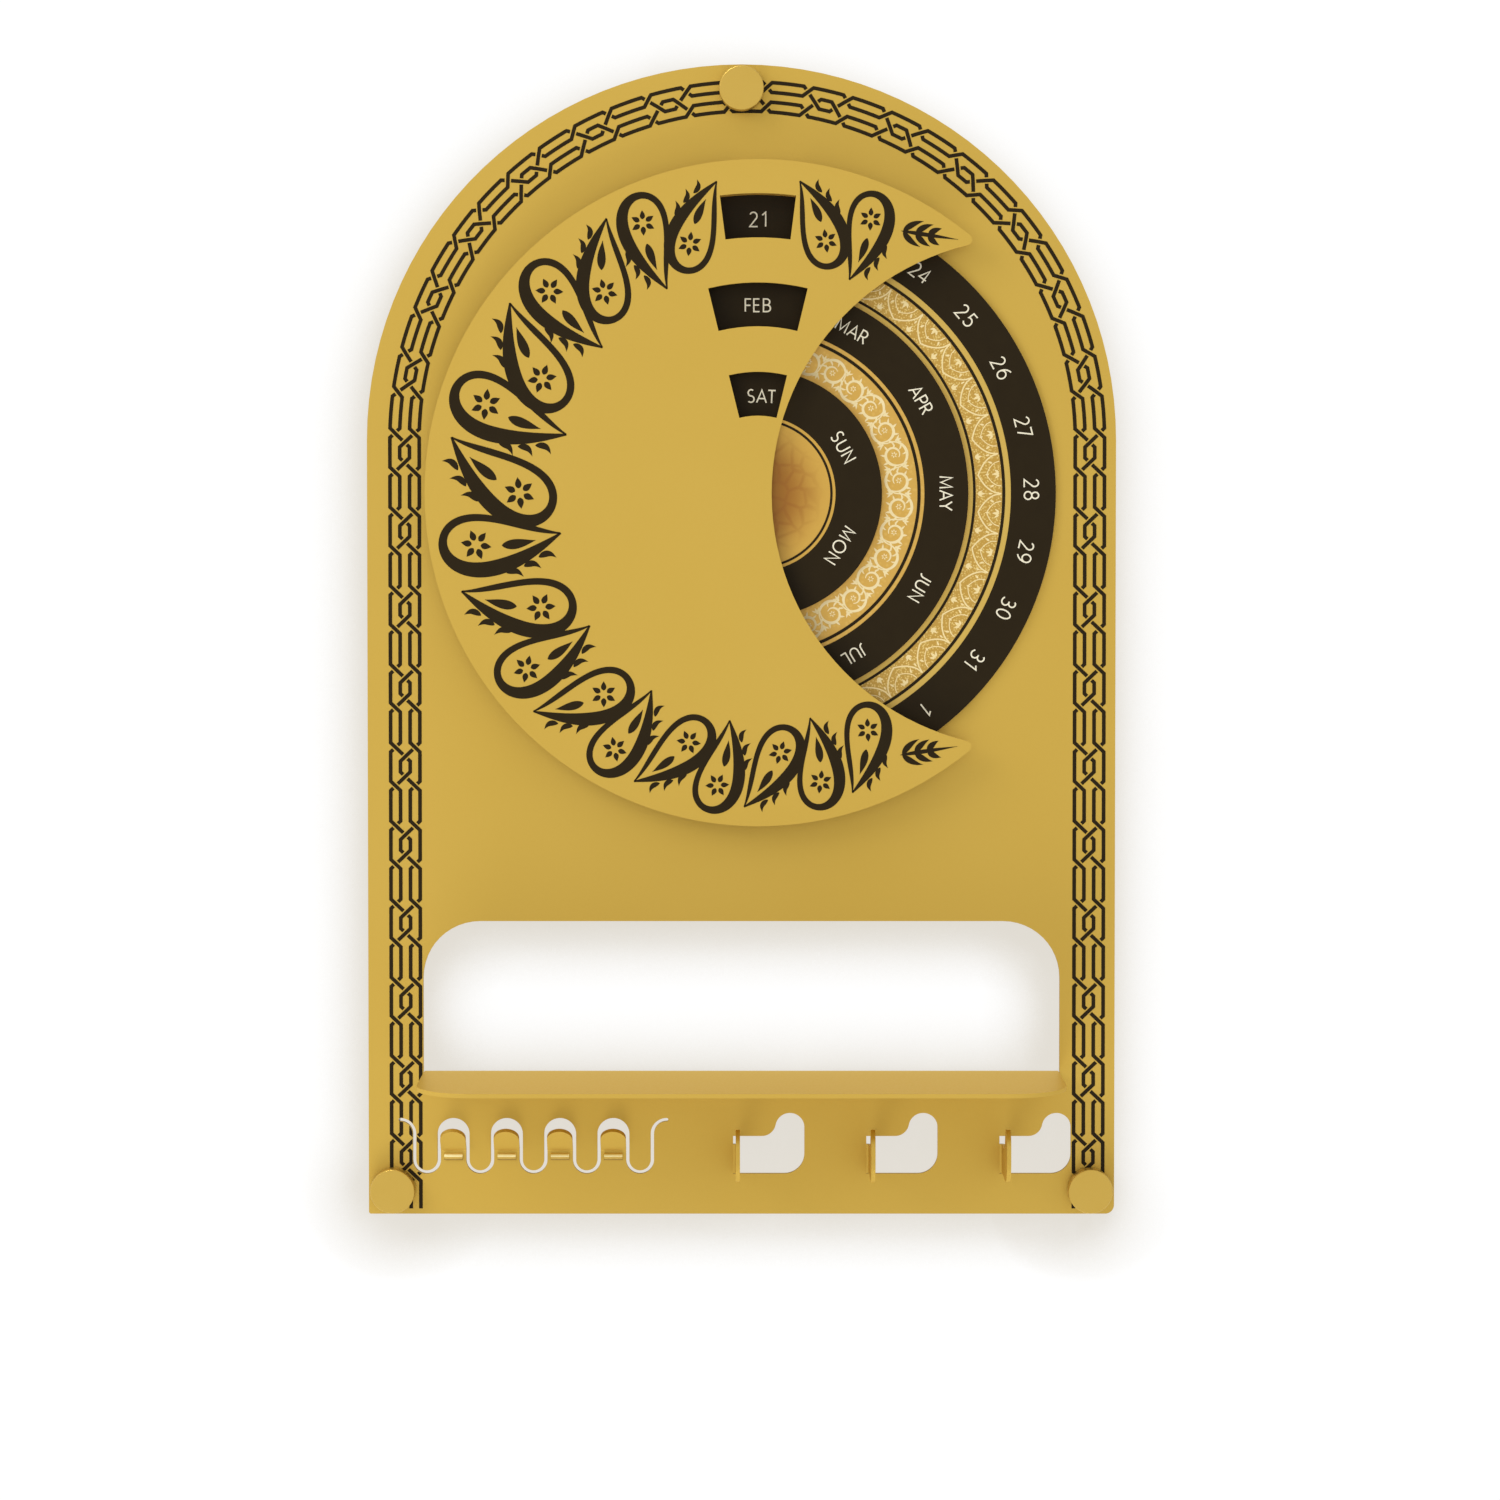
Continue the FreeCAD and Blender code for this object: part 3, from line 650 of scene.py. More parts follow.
def tip_sprig(place, tip):
    """Sprig that fills a tip of the crescent: a tapering stem from behind the place towards the tip, with
    pairs of leaves along it. Gives (points, half widths, layer)."""
    reach = np.linalg.norm(tip - place)
    ahead = (tip - place) / reach
    root = place - 0.36 * reach * ahead
    heading = math.atan2(ahead[1], ahead[0])
    strokes = [(*petal(root, heading, 0.0, 1.0 * reach, 0.036 * reach), 0)]
    for layer, (share, length) in enumerate(SPRIG_LEAVES, 1):
        joint = root + share * reach * ahead
        for side in (-1, 1):
            leaf = petal(joint, heading + 0.95 * side, -0.7 * side, length * reach, 0.052 * reach)
            strokes.append((*leaf, layer + side / 4))
    return strokes


class CALENDAR_OT_moon_garland(bpy.types.Operator):
    """Print the garland of paisleys on the crescent"""

    bl_idname = "calendar.moon_garland"
    bl_label = "Crescent garland"

    def execute(self, context):
        settings = context.scene.calendar_print
        garland = Print(MOON_FRONT, settings.ink)
        for direction in (-1, 1):
            for index, (turn, radius, half) in enumerate(garland_places(direction, settings)):
                place = PIVOT + radius * outwards(turn)
                if half < SMALLEST_PAISLEY:
                    garland.strokes(tip_sprig(place, crescent_tip(direction)))
                    continue
                flip = -1 if index % 2 else 1
                up = flip * outwards(turn - direction * settings.garland_lean)
                paisley = paisley_strokes(place, up, PAISLEY_SHARE * half, -direction * flip)
                garland.strokes(paisley, lower=index % 2 / 2)
        garland.piece("moon_garland", black_ink(), "panel", "gold_coat")
        return {"FINISHED"}


# Dials


# Radii of the black rings of each dial in mm, as (inner, outer)
DIAL_RINGS = {
    "date_dial": ((77.5, 78.45), (88.0, 89.1), (91.1, 107.3)),
    "month_dial": ((57.4, 58.55), (59.9, 75.7)),
    "weekday_dial": ((26.0, 26.85), (27.9, 44.6)),
}
RING_STEPS = 256

# Radii of the filigree's ground, which fills the space between the date dial's two fine rings
ARCH_GROUND = (DIAL_RINGS["date_dial"][0][1] * MM, DIAL_RINGS["date_dial"][1][0] * MM)


class CALENDAR_OT_dial_bands(bpy.types.Operator):
    """Print the black bands and the fine rings of the dials"""

    bl_idname = "calendar.dial_bands"
    bl_label = "Dial bands"

    def execute(self, context):
        ink = context.scene.calendar_print.ink
        for dial in DIALS:
            bands = Print(front_of(dial), ink)
            for inner, outer in DIAL_RINGS[dial]:
                middle = circle(PIVOT, (inner + outer) / 2 * MM, RING_STEPS)
                bands.line(middle, (outer - inner) / 2 * MM, closed=True)
            bands.piece(dial.replace("dial", "bands"), black_ink(), dial, "dial_coat")
        return {"FINISHED"}


# Radius on which the scrolls' middles stand, and the stem's weight as a share of a scroll's radius
SCROLL_MIDDLE = 50.9 * MM
STEM_WEIGHT = 0.12


class CALENDAR_OT_month_scroll(bpy.types.Operator):
    """Print the ring of pale scrolls on the month dial"""

    bl_idname = "calendar.month_scroll"
    bl_label = "Month dial scrolls"

    def execute(self, context):
        count = context.scene.calendar_dials.scroll_count
        radius = SCROLL_MIDDLE * math.sin(math.pi / count)
        scroll = Print(front_of("month_dial"), context.scene.calendar_print.ink)
        scroll.strokes(vine_strokes(circle(PIVOT, SCROLL_MIDDLE, count), radius, STEM_WEIGHT * radius))
        ink = cream_ink("pale scroll ink", hex_colour("#e9d8a6"), hex_colour("#dfcb95"))
        scroll.piece("month_scroll", ink, "month_dial", "dial_coat")
        return {"FINISHED"}


# Radii between which the arches hang, their two lines as (share of the arch, half width), and the share
# of the space that the larger one fills
ARCH_INNER, ARCH_OUTER = 78.9 * MM, 87.7 * MM
ARCH_LINES = ((1.0, 0.26 * MM), (0.62, 0.17 * MM))
ARCH_DEPTH = 0.92

# Petals of one arch, as ((shares of its width along, mm in from the outer edge), degrees, length in mm)
ARCH_PETALS = (
    ((0.0, 0.5), -90, 2.6),
    ((0.03, 0.6), -52, 2.0),
    ((-0.03, 0.6), -128, 2.0),
    ((0.0, 4.2), -90, 1.5),
    ((0.28, 2.6), -62, 1.8),
    ((-0.28, 2.6), -118, 1.8),
    ((0.5, 8.4), 90, 2.6),
    ((0.5, 8.4), 52, 2.1),
    ((0.5, 8.4), 128, 2.1),
    ((0.5, 4.6), 90, 1.6),
)

# Half width of an arch's petal as a share of its length
ARCH_PETAL_WIDTH = 0.2


class CALENDAR_OT_date_filigree(bpy.types.Operator):
    """Print the ring of filigree arches on the date dial"""

    bl_idname = "calendar.date_filigree"
    bl_label = "Date dial filigree"

    def execute(self, context):
        count = context.scene.calendar_dials.arch_count
        pitch = 2 * math.pi * ARCH_OUTER / count
        filigree = Print(front_of("date_dial"), context.scene.calendar_print.ink)
        share = np.linspace(-1, 1, 33)
        # A pointed arch: each of its two arcs has its middle in the other's foot
        fall = ARCH_DEPTH * (ARCH_OUTER - ARCH_INNER) * np.sqrt((4 - (1 + np.abs(share)) ** 2) / 3)
        for index in range(count):
            for scale, half_width in ARCH_LINES:
                along = pitch * (index + 0.5 * scale * share)
                swag = wrap(np.column_stack([along, -scale * fall]), PIVOT, ARCH_OUTER)
                filigree.line(swag, half_width, layer=index % 2 / 4)
            for layer, ((along, fallen), heading, length) in enumerate(ARCH_PETALS, 1):
                root = np.array((pitch * (index + along), -fallen * MM))
                size = length * MM
                path, width = petal(root, math.radians(heading), 0.0, size, ARCH_PETAL_WIDTH * size)
                filigree.line(wrap(path, PIVOT, ARCH_OUTER), width, layer=layer / 2)
        filigree.piece("date_filigree", pale_gold_ink(), "date_dial", "dial_coat")
        return {"FINISHED"}


# Lettering


# Sans capitals and figures as the pen draws them, in a box one unit high: (width, strokes). A stroke is
# a row of points (x, y) and arcs (centre x, centre y, radius x, radius y, first and last degree). A stroke
# that comes back to its own line stops at the edge of it.
GLYPHS = {
    "0": (0.56, [[(0.28, 0.5, 0.28, 0.5, 90, 450)]]),
    "1": (0.28, [[(0.02, 0.80), (0.26, 1), (0.26, 0)]]),
    "2": (0.54, [[(0.25, 0.73, 0.25, 0.27, 155, -33), (0, 0), (0.54, 0)]]),
    "3": (0.52, [[(0.23, 0.76, 0.23, 0.24, 145, -90)], [(0.15, 0.52), (0.23, 0.26, 0.28, 0.26, 90, -145)]]),
    "4": (0.58, [[(0.43, 0), (0.43, 1), (0, 0.27), (0.2, 0.27)], [(0.2, 0.27), (0.58, 0.27)]]),
    "5": (0.52, [[(0.48, 1), (0.10, 1), (0.06, 0.56), (0.22, 0.31, 0.29, 0.31, 112, -145)]]),
    "6": (0.56, [[(0.28, 0.31, 0.28, 0.31, 90, 450)], [(0.62, 0.31, 0.62, 0.69, 180, 106)]]),
    "7": (0.54, [[(0, 1), (0.54, 1), (0.17, 0)]]),
    "8": (0.54, [[(0.27, 0.76, 0.22, 0.24, 90, 450)], [(0.27, 0.26, 0.27, 0.26, 90, 450)]]),
    "9": (0.56, [[(0.28, 0.69, 0.28, 0.31, 90, 450)], [(-0.06, 0.69, 0.62, 0.69, 0, -74)]]),
    "A": (0.76, [[(0, 0), (0.38, 1), (0.76, 0)], [(0.13, 0.33), (0.63, 0.33)]]),
    "B": (0.55, [
        [(0, 0), (0, 1), (0.25, 0.76, 0.24, 0.24, 90, -90), (0.06, 0.52)],
        [(0.2, 0.52), (0.28, 0.26, 0.27, 0.26, 90, -90), (-0.06, 0)]]),
    "C": (0.74, [[(0.44, 0.5, 0.44, 0.5, 54, 306)]]),
    "D": (0.74, [[(0.06, 0), (0, 0), (0, 1), (0.28, 0.5, 0.46, 0.5, 90, -90), (0.06, 0)]]),
    "E": (0.46, [[(0.45, 1), (0, 1), (0, 0), (0.46, 0)], [(0, 0.52), (0.41, 0.52)]]),
    "F": (0.45, [[(0.45, 1), (0, 1), (0, 0)], [(0, 0.5), (0.41, 0.5)]]),
    "G": (0.80, [[(0.44, 0.5, 0.44, 0.5, 54, 318), (0.79, 0.20), (0.79, 0.47), (0.50, 0.47)]]),
    "H": (0.66, [[(0, 0), (0, 1)], [(0.66, 0), (0.66, 1)], [(0, 0.52), (0.66, 0.52)]]),
    "I": (0.0, [[(0, 0), (0, 1)]]),
    "J": (0.30, [[(0.30, 1), (0.04, 0.28, 0.26, 0.28, 0, -85)]]),
    "L": (0.43, [[(0, 1), (0, 0), (0.43, 0)]]),
    "M": (0.86, [[(0, 0), (0.06, 1), (0.43, 0.10), (0.80, 1), (0.86, 0)]]),
    "N": (0.64, [[(0, 0), (0, 1), (0.64, 0), (0.64, 1)]]),
    "O": (0.92, [[(0.46, 0.5, 0.46, 0.5, 90, 450)]]),
    "P": (0.50, [[(0, 0), (0, 1), (0.24, 0.735, 0.26, 0.265, 90, -90), (0.06, 0.47)]]),
    "R": (0.52, [
        [(0, 0), (0, 1), (0.24, 0.74, 0.25, 0.26, 90, -90), (0.06, 0.48)], [(0.24, 0.48), (0.52, 0)]]),
    "S": (0.50, [[(0.25, 0.75, 0.23, 0.25, 48, 270), (0.25, 0.25, 0.25, 0.25, 90, -138)]]),
    "T": (0.58, [[(0, 1), (0.58, 1)], [(0.29, 1), (0.29, 0)]]),
    "U": (0.64, [[(0, 1), (0.32, 0.33, 0.32, 0.33, 180, 360), (0.64, 1)]]),
    "V": (0.72, [[(0, 1), (0.36, 0), (0.72, 1)]]),
    "W": (1.06, [[(0, 1), (0.26, 0), (0.53, 1), (0.80, 0), (1.06, 1)]]),
    "Y": (0.68, [[(0, 1), (0.34, 0.46), (0.68, 1)], [(0.34, 0.5), (0.34, 0)]]),
}

# Gap between two letters and how much of it each open side takes back, as shares of the letters' height,
# letters that are open on their left and on their right, and the layers that a word's strokes take in turn
LETTER_GAP, OPEN_SIDE = 0.31, 0.09
OPEN_LEFT = "AJTVWY47"
OPEN_RIGHT = "AFLPTVWY7"
LETTER_LAYERS = 5

DATES = [str(day) for day in (*range(21, 32), *range(1, 21))]
MONTHS = ("FEB", "MAR", "APR", "MAY", "JUN", "JUL", "AUG", "SEP", "OCT", "NOV", "DEC", "JAN")
WEEKDAYS = ("SAT", "SUN", "MON", "TUE", "WED", "THU", "FRI")

# Places of labels on each dial, as (labels on from the one shown, clockwise degrees). The labels between
# two of these are spaced evenly.
DATE_PLACES = ((0, 0), (3, 36.3), (8, 102.3), (10, 127.4), (11, 141.9), (31, 360))
MONTH_PLACES = ((0, 0), (4, 120), (5, 149), (12, 360))
WEEKDAY_PLACES = ((0, 2.2), (1, 61.4), (2, 122.2), (7, 360))

# Lettering, as (piece, dial, radius of its middle line in mm, setting with its height, labels, their places)
LETTERING = (
    ("date_numbers", "date_dial", 98.5, "date_size", DATES, DATE_PLACES),
    ("month_names", "month_dial", 67.6, "name_size", MONTHS, MONTH_PLACES),
    ("weekday_names", "weekday_dial", 34.9, "name_size", WEEKDAYS, WEEKDAY_PLACES),
)


def label_turns(count, places):
    """Clockwise angles of all the labels of a dial."""
    numbers, degrees = np.array(places).T
    return np.radians(np.interp(np.arange(count), numbers, degrees))


def is_ring(stroke):
    """Whether a stroke is a single arc that goes all the way round."""
    return len(stroke) == 1 and stroke[0][-1] - stroke[0][-2] == 360


def pen_path(stroke):
    """Points of one stroke, with an arc drawn in steps of about ten degrees."""
    parts = []
    for item in stroke:
        if len(item) == 2:
            parts.append([item])
            continue
        x, y, wide, high, first, last = item
        turn = np.radians(np.linspace(first, last, 2 + int(abs(last - first) / 10)))
        parts.append(np.column_stack([x + wide * np.cos(turn), y + high * np.sin(turn)]))
    path = np.vstack(parts).astype(float)
    keep = np.append(True, np.linalg.norm(np.diff(path, axis=0), axis=1) > 0.01)
    path = path[keep]
    return path[:-1] if is_ring(stroke) else path


def pen_word(text, height, pen):
    """Strokes of a word, centred on its own box, for a pen of this width, as (points, is it a ring)."""
    strokes = []
    cursor = 0.0
    for place, glyph in enumerate(text):
        width, parts = GLYPHS[glyph]
        if place:
            open_sides = (glyph in OPEN_LEFT) + (text[place - 1] in OPEN_RIGHT)
            cursor += LETTER_GAP - OPEN_SIDE * open_sides
        strokes += [(pen_path(part) + (cursor, 0.0), is_ring(part)) for part in parts]
        cursor += width
    return [((path - (cursor / 2, 0.5)) * (height - pen), ring) for path, ring in strokes]


class CALENDAR_OT_dial_lettering(bpy.types.Operator):
    """Print the numbers and names on the dials"""

    bl_idname = "calendar.dial_lettering"
    bl_label = "Dial lettering"

    def execute(self, context):
        settings = context.scene.calendar_dials
        height = context.scene.calendar_print.ink
        cream = tuple(context.scene.calendar_colours.cream)
        ink = cream_ink("cream lettering ink", cream, hex_colour("#e2d9bd"))
        for name, dial, middle, size, labels, places in LETTERING:
            lettering = Print(front_of(dial) - height, height)
            for text, turn in zip(labels, label_turns(len(labels), places)):
                up = outwards(turn)
                right = np.array((up[1], -up[0]))
                word = pen_word(text, getattr(settings, size), settings.pen)
                for layer, (path, ring) in enumerate(word):
                    place = PIVOT + path[:, :1] * right + (path[:, 1:] + middle * MM) * up
                    lettering.line(place, settings.pen / 2, ring, layer % LETTER_LAYERS)
            lettering.piece(name, ink, dial, "dial_coat")
        return {"FINISHED"}


# Materials


def set_inputs(tree, node, inputs):
    """Sets a node's inputs, given by name or number, to values or links them to other nodes' outputs."""
    for name, value in inputs.items():
        if isinstance(value, bpy.types.NodeSocket):
            tree.links.new(value, node.inputs[name])
        else:
            node.inputs[name].default_value = value


def empty_tree(owner):
    """Node tree of a material or a world, with nothing in it."""
    owner.use_nodes = True
    owner.node_tree.nodes.clear()
    return owner.node_tree


def add(tree, kind, settings=None, inputs=None):
    """Adds a node of a kind, which is its type's name without ShaderNode, with its settings and inputs."""
    node = tree.nodes.new("ShaderNode" + kind)
    for name, value in (settings or {}).items():
        setattr(node, name, value)
    set_inputs(tree, node, inputs or {})
    return node


def work_out(tree, operation, *values):
    """Result of one sum on values or sockets."""
    return add(tree, "Math", {"operation": operation}, dict(enumerate(values))).outputs["Value"]


def carried(tree, value, from_low, from_high, to_low=0.0, to_high=1.0, kind="LINEAR"):
    """A value carried from one range to another, and kept inside it."""
    return add(tree, "MapRange", {"interpolation_type": kind}, {
        "Value": value, "From Min": from_low, "From Max": from_high,
        "To Min": to_low, "To Max": to_high}).outputs["Result"]


def blended(tree, factor, first, second):
    """Colour between two others; a Mix node's colours are its inputs 6 and 7 and its output 2."""
    mix = add(tree, "Mix", {"data_type": "RGBA"}, {"Factor": factor, 6: first, 7: second})
    return mix.outputs[2]


def new_material(name):
    """A material with its tree, its shader and its Object coordinates."""
    material = bpy.data.materials.new(name)
    tree = empty_tree(material)
    shader = add(tree, "BsdfPrincipled")
    add(tree, "OutputMaterial", inputs={"Surface": shader.outputs["BSDF"]})
    coordinates = add(tree, "TexCoord").outputs["Object"]
    return material, tree, shader, coordinates


def per_metre(size):
    """Texture scale that makes a pattern's feature about this size."""
    return 1.0 / size


def grain(tree, shader, coordinates, size, height, rough):
    """Fine grain: a bump of a given height, and roughness between two values."""
    noise = add(tree, "TexNoise", inputs={
        "Vector": coordinates, "Scale": per_metre(size), "Detail": 3.0, "Roughness": 0.55}).outputs["Fac"]
    bump = add(tree, "Bump", inputs={"Height": noise, "Distance": height, "Strength": 1.0})
    set_inputs(tree, shader, {
        "Roughness": carried(tree, noise, 0.3, 0.7, *rough), "Normal": bump.outputs["Normal"]})


def drift(tree, coordinates, size, first, second):
    """Slow change between two near colours, as a sprayed or printed coat has."""
    noise = add(tree, "TexNoise", inputs={
        "Vector": coordinates, "Scale": per_metre(size), "Detail": 2.0})
    return blended(tree, noise.outputs["Fac"], first, second)


def gold_colours():
    """The two colours of the gold coat."""
    colours = bpy.context.scene.calendar_colours
    return tuple(colours.gold), tuple(colours.gold_deep)


# Gold coat: size and height of its orange peel, and colour and share of the sheet's thickness of the painted
# shade on a cut edge
COAT_GRAIN = (0.9 * MM, 0.004 * MM)
EDGE_SHADE_COLOUR, EDGE_SHADE_SHARE = "#8c6c36", 0.94


@cache
def gold_coat():
    """Satin gold powder coat on mild steel, sprayed and baked: a soft metallic sheen with no mirror image,
    a faint orange peel and a slow drift of colour. Within the sheet's thickness the panel's laser-cut
    edges are painted brown, a painted shade that stands in for the shade on the walls of the cut-outs."""
    material, tree, shader, coordinates = new_material("satin gold powder coat")
    coat = drift(tree, coordinates, 60 * MM, *gold_colours())
    depth = add(tree, "SeparateXYZ", inputs={"Vector": coordinates}).outputs["Y"]
    half = EDGE_SHADE_SHARE * (PANEL_BACK - PANEL_FRONT) / 2
    # Painted shade: the faces within the sheet's thickness, the panel's cut edges, take the brown
    edge = work_out(tree, "COMPARE", depth, (PANEL_FRONT + PANEL_BACK) / 2, half)
    grain(tree, shader, coordinates, *COAT_GRAIN, (0.40, 0.48))
    set_inputs(tree, shader, {
        "Base Color": blended(tree, edge, coat, hex_colour(EDGE_SHADE_COLOUR)), "Metallic": 0.5,
        "Specular IOR Level": 0.12, "Specular Tint": hex_colour("#f0d488")})
    return material


# Colours of a small bar from its foot to its top, as (share of the height, colour): painted shade along the
# foot, plain gold, a pale painted highlight across the upper front, and a lighter painted gold at the crest
BAR_PAINTED_LIGHT = (
    (0.0, "#a2843f"), (0.27, "#a2843f"), (0.33, "#cba94f"), (0.52, "#cba94f"), (0.58, "#fff6bd"),
    (0.84, "#fff6bd"), (0.92, "#e4c56a"), (1.0, "#e4c56a"))


@cache
def rubbed_gold():
    """The gold coat on the small bars, with painted light in bands over the bar's height: a painted
    highlight across the upper front and a painted shade along the foot."""
    low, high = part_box("hook_ledges")
    material, tree, shader, coordinates = new_material("rubbed gold powder coat")
    height = add(tree, "SeparateXYZ", inputs={"Vector": coordinates}).outputs["Z"]
    # Painted highlight and painted shade: the colour bands follow the height over the bar
    ramp = add(tree, "ValToRGB", inputs={"Fac": carried(tree, height, low.z, high.z)})
    bands = ramp.color_ramp.elements
    bands[0].color = hex_colour(BAR_PAINTED_LIGHT[0][1])
    bands[1].color = hex_colour(BAR_PAINTED_LIGHT[-1][1])
    for place, code in BAR_PAINTED_LIGHT[1:-1]:
        bands.new(place).color = hex_colour(code)
    grain(tree, shader, coordinates, *COAT_GRAIN, (0.36, 0.44))
    set_inputs(tree, shader, {"Base Color": ramp.outputs["Color"], "Metallic": 0.5})
    return material


# Distance between two tool marks, and the distance between two rings of a wave texture of scale 1 in metres
TOOL_MARK = 0.99 * MM
WAVE_PITCH = math.pi / 10


@cache
def turned_gold(side):
    """Brass stand-off turned on a lathe and lacquered gold: fine circular tool marks round its own axis."""
    material, tree, shader, coordinates = new_material("turned gold brass, " + side)
    x, z = middle_of(side + "_barrel")
    place = add(tree, "Mapping", inputs={"Vector": coordinates, "Location": (-x, 0.0, -z)})
    marks = add(tree, "TexWave", {"wave_type": "RINGS", "rings_direction": "Y"}, {
        "Vector": place.outputs["Vector"], "Scale": WAVE_PITCH / TOOL_MARK, "Distortion": 0.6,
        "Detail": 2.0})
    bump = add(tree, "Bump", inputs={
        "Height": marks.outputs["Fac"], "Distance": 0.003 * MM, "Strength": 1.0})
    set_inputs(tree, shader, {
        "Base Color": drift(tree, coordinates, 8 * MM, *gold_colours()), "Metallic": 0.75,
        "Roughness": 0.36, "Normal": bump.outputs["Normal"]})
    return material


def plain_finish(name, size, colours, surface, rough, inputs):
    """Finish of two near colours that drift into each other over a size, with a grain of a size and height,
    a range of roughness and the shader's other inputs."""
    material, tree, shader, coordinates = new_material(name)
    grain(tree, shader, coordinates, *surface, rough)
    set_inputs(tree, shader, {"Base Color": drift(tree, coordinates, size, *colours), **inputs})
    return material


@cache
def plated_steel():
    """Zinc plated steel screws and nuts: cold grey with a fine crystalline grain."""
    return plain_finish(
        "zinc plated steel", 1.5 * MM, (hex_colour("#b9bbbd"), hex_colour("#a3a6a9")),
        (0.4 * MM, 0.004 * MM), (0.26, 0.38), {"Metallic": 1.0})


@cache
def clear_gasket():
    """Punched clear vinyl washer: milky, slightly frosted, lets the gold show through."""
    return plain_finish(
        "clear vinyl", 3 * MM, (hex_colour("#e9e7df"), hex_colour("#dedbd0")),
        (0.3 * MM, 0.003 * MM), (0.22, 0.34), {"Transmission Weight": 0.7, "IOR": 1.53})


@cache
def black_ink():
    """Screen-printed brown black ink, stoved: satin, with the faint texture of the screen's mesh."""
    ink = tuple(bpy.context.scene.calendar_colours.ink)
    return plain_finish(
        "stoved screen ink", 5 * MM, (ink, hex_colour("#271e0d")),
        (0.35 * MM, 0.004 * MM), (0.45, 0.55), {"Specular IOR Level": 0.1})


@cache
def cream_ink(name, light, deep):
    """Screen-printed cream ink: opaque and matt."""
    return plain_finish(name, 2 * MM, (light, deep), (0.35 * MM, 0.003 * MM), (0.5, 0.6), {})


@cache
def pale_gold_ink():
    """Pale gold ink with mica in it, printed thin over the gold ground."""
    return plain_finish(
        "pale mica ink", 1.2 * MM, (hex_colour("#f0dca4"), hex_colour("#e6cf90")),
        (0.3 * MM, 0.004 * MM), (0.38, 0.5), {"Metallic": 0.3})


def distance_from_pivot(tree, coordinates):
    """Distance of a point from the dials' axis."""
    moved = add(tree, "Mapping", inputs={
        "Vector": coordinates, "Location": (-PIVOT[0], 0.0, -PIVOT[1])})
    flat = add(tree, "VectorMath", {"operation": "MULTIPLY"}, {
        0: moved.outputs["Vector"], 1: (1.0, 0.0, 1.0)})
    way = add(tree, "VectorMath", {"operation": "LENGTH"}, {0: flat.outputs["Vector"]})
    return way.outputs["Value"]


def lacquered_print(tree, shader, coordinates, colour):
    """The sheen that all the dials' prints share."""
    grain(tree, shader, coordinates, 0.8 * MM, 0.003 * MM, (0.36, 0.44))
    set_inputs(tree, shader, {"Base Color": colour, "Metallic": 0.45})


def dial_sheet(name, field, dots, dot_size, ring=None):
    """Digital print under clear lacquer on gold sheet: a golden ground with a fine stipple, all over or only
    in a ring given by its radii, with the plain gold beside it."""
    material, tree, shader, coordinates = new_material(name)
    cells = add(tree, "TexVoronoi", {"feature": "F1"}, {
        "Vector": coordinates, "Scale": per_metre(dot_size)})
    spot = carried(tree, cells.outputs["Distance"], 0.25, 0.45)
    colour = blended(tree, spot, hex_colour(dots), hex_colour(field))
    if ring:
        inner, outer = ring
        radius = distance_from_pivot(tree, coordinates)
        inside = work_out(tree, "COMPARE", radius, (inner + outer) / 2, (outer - inner) / 2)
        colour = blended(tree, inside, gold_colours()[0], colour)
    lacquered_print(tree, shader, coordinates, colour)
    return material


def weekday_sheet():
    """The same print with a brown netted centre that fades into gold."""
    material, tree, shader, coordinates = new_material("netted gold print")
    wobble = add(tree, "TexNoise", inputs={
        "Vector": coordinates, "Scale": per_metre(7 * MM), "Detail": 1.0})
    bent = add(tree, "VectorMath", {"operation": "MULTIPLY_ADD"}, {
        0: wobble.outputs["Color"], 1: (2 * MM,) * 3, 2: coordinates})
    cells = add(tree, "TexVoronoi", {"feature": "DISTANCE_TO_EDGE"}, {
        "Vector": bent.outputs["Vector"], "Scale": per_metre(6.0 * MM)})
    net = carried(tree, cells.outputs["Distance"], 0.02, 0.16, 0.6, 0.0, "SMOOTHSTEP")
    radius = distance_from_pivot(tree, coordinates)
    fade = carried(tree, radius, 10 * MM, 26 * MM, 1.0, 0.0, "SMOOTHSTEP")
    ground = blended(tree, fade, hex_colour("#cba044"), hex_colour("#a26c22"))
    colour = blended(tree, work_out(tree, "MULTIPLY", net, fade), ground, hex_colour("#9c6320"))
    lacquered_print(tree, shader, coordinates, colour)
    return material


def finish_of(node):
    """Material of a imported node, by what the real piece is made of."""
    if node in ("back_panel", "moon_plate"):
        return gold_coat()
    # The small bars take the gold coat with painted highlight and painted shade
    if node == "hook_ledges":
        return rubbed_gold()
    if node == "date_dial":
        return dial_sheet("stippled gold print", "#bd9540", "#dfc273", 0.8 * MM, ARCH_GROUND)
    if node == "month_dial":
        return dial_sheet("ochre gold print", "#cda24a", "#d3aa52", 1.6 * MM)
    if node == "weekday_dial":
        return weekday_sheet()
    if node.endswith(("_cap", "_barrel")):
        return turned_gold(node.split("_")[0])
    if node.endswith("_gasket"):
        return clear_gasket()
    return plated_steel()


class CALENDAR_OT_finishes(bpy.types.Operator):
    """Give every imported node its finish"""

    bl_idname = "calendar.finishes"
    bl_label = "Finishes"

    def execute(self, context):
        for name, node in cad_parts.items():
            node.data.materials.clear()
            node.data.materials.append(finish_of(name))
        return {"FINISHED"}


# Stage


def stage_plane(name, corners, material):
    """Plane that only the camera sees and that throws no light and no shadow on the object."""
    mesh = bpy.data.meshes.new(name)
    mesh.from_pydata(corners, [], [(0, 1, 2, 3)])
    mesh.materials.append(material)
    plane = bpy.data.objects.new(name, mesh)
    bpy.context.scene.collection.objects.link(plane)
    for ray in ("shadow", "diffuse", "glossy", "transmission"):
        setattr(plane, "visible_" + ray, False)


WHITE = (1.0, 1.0, 1.0, 1.0)

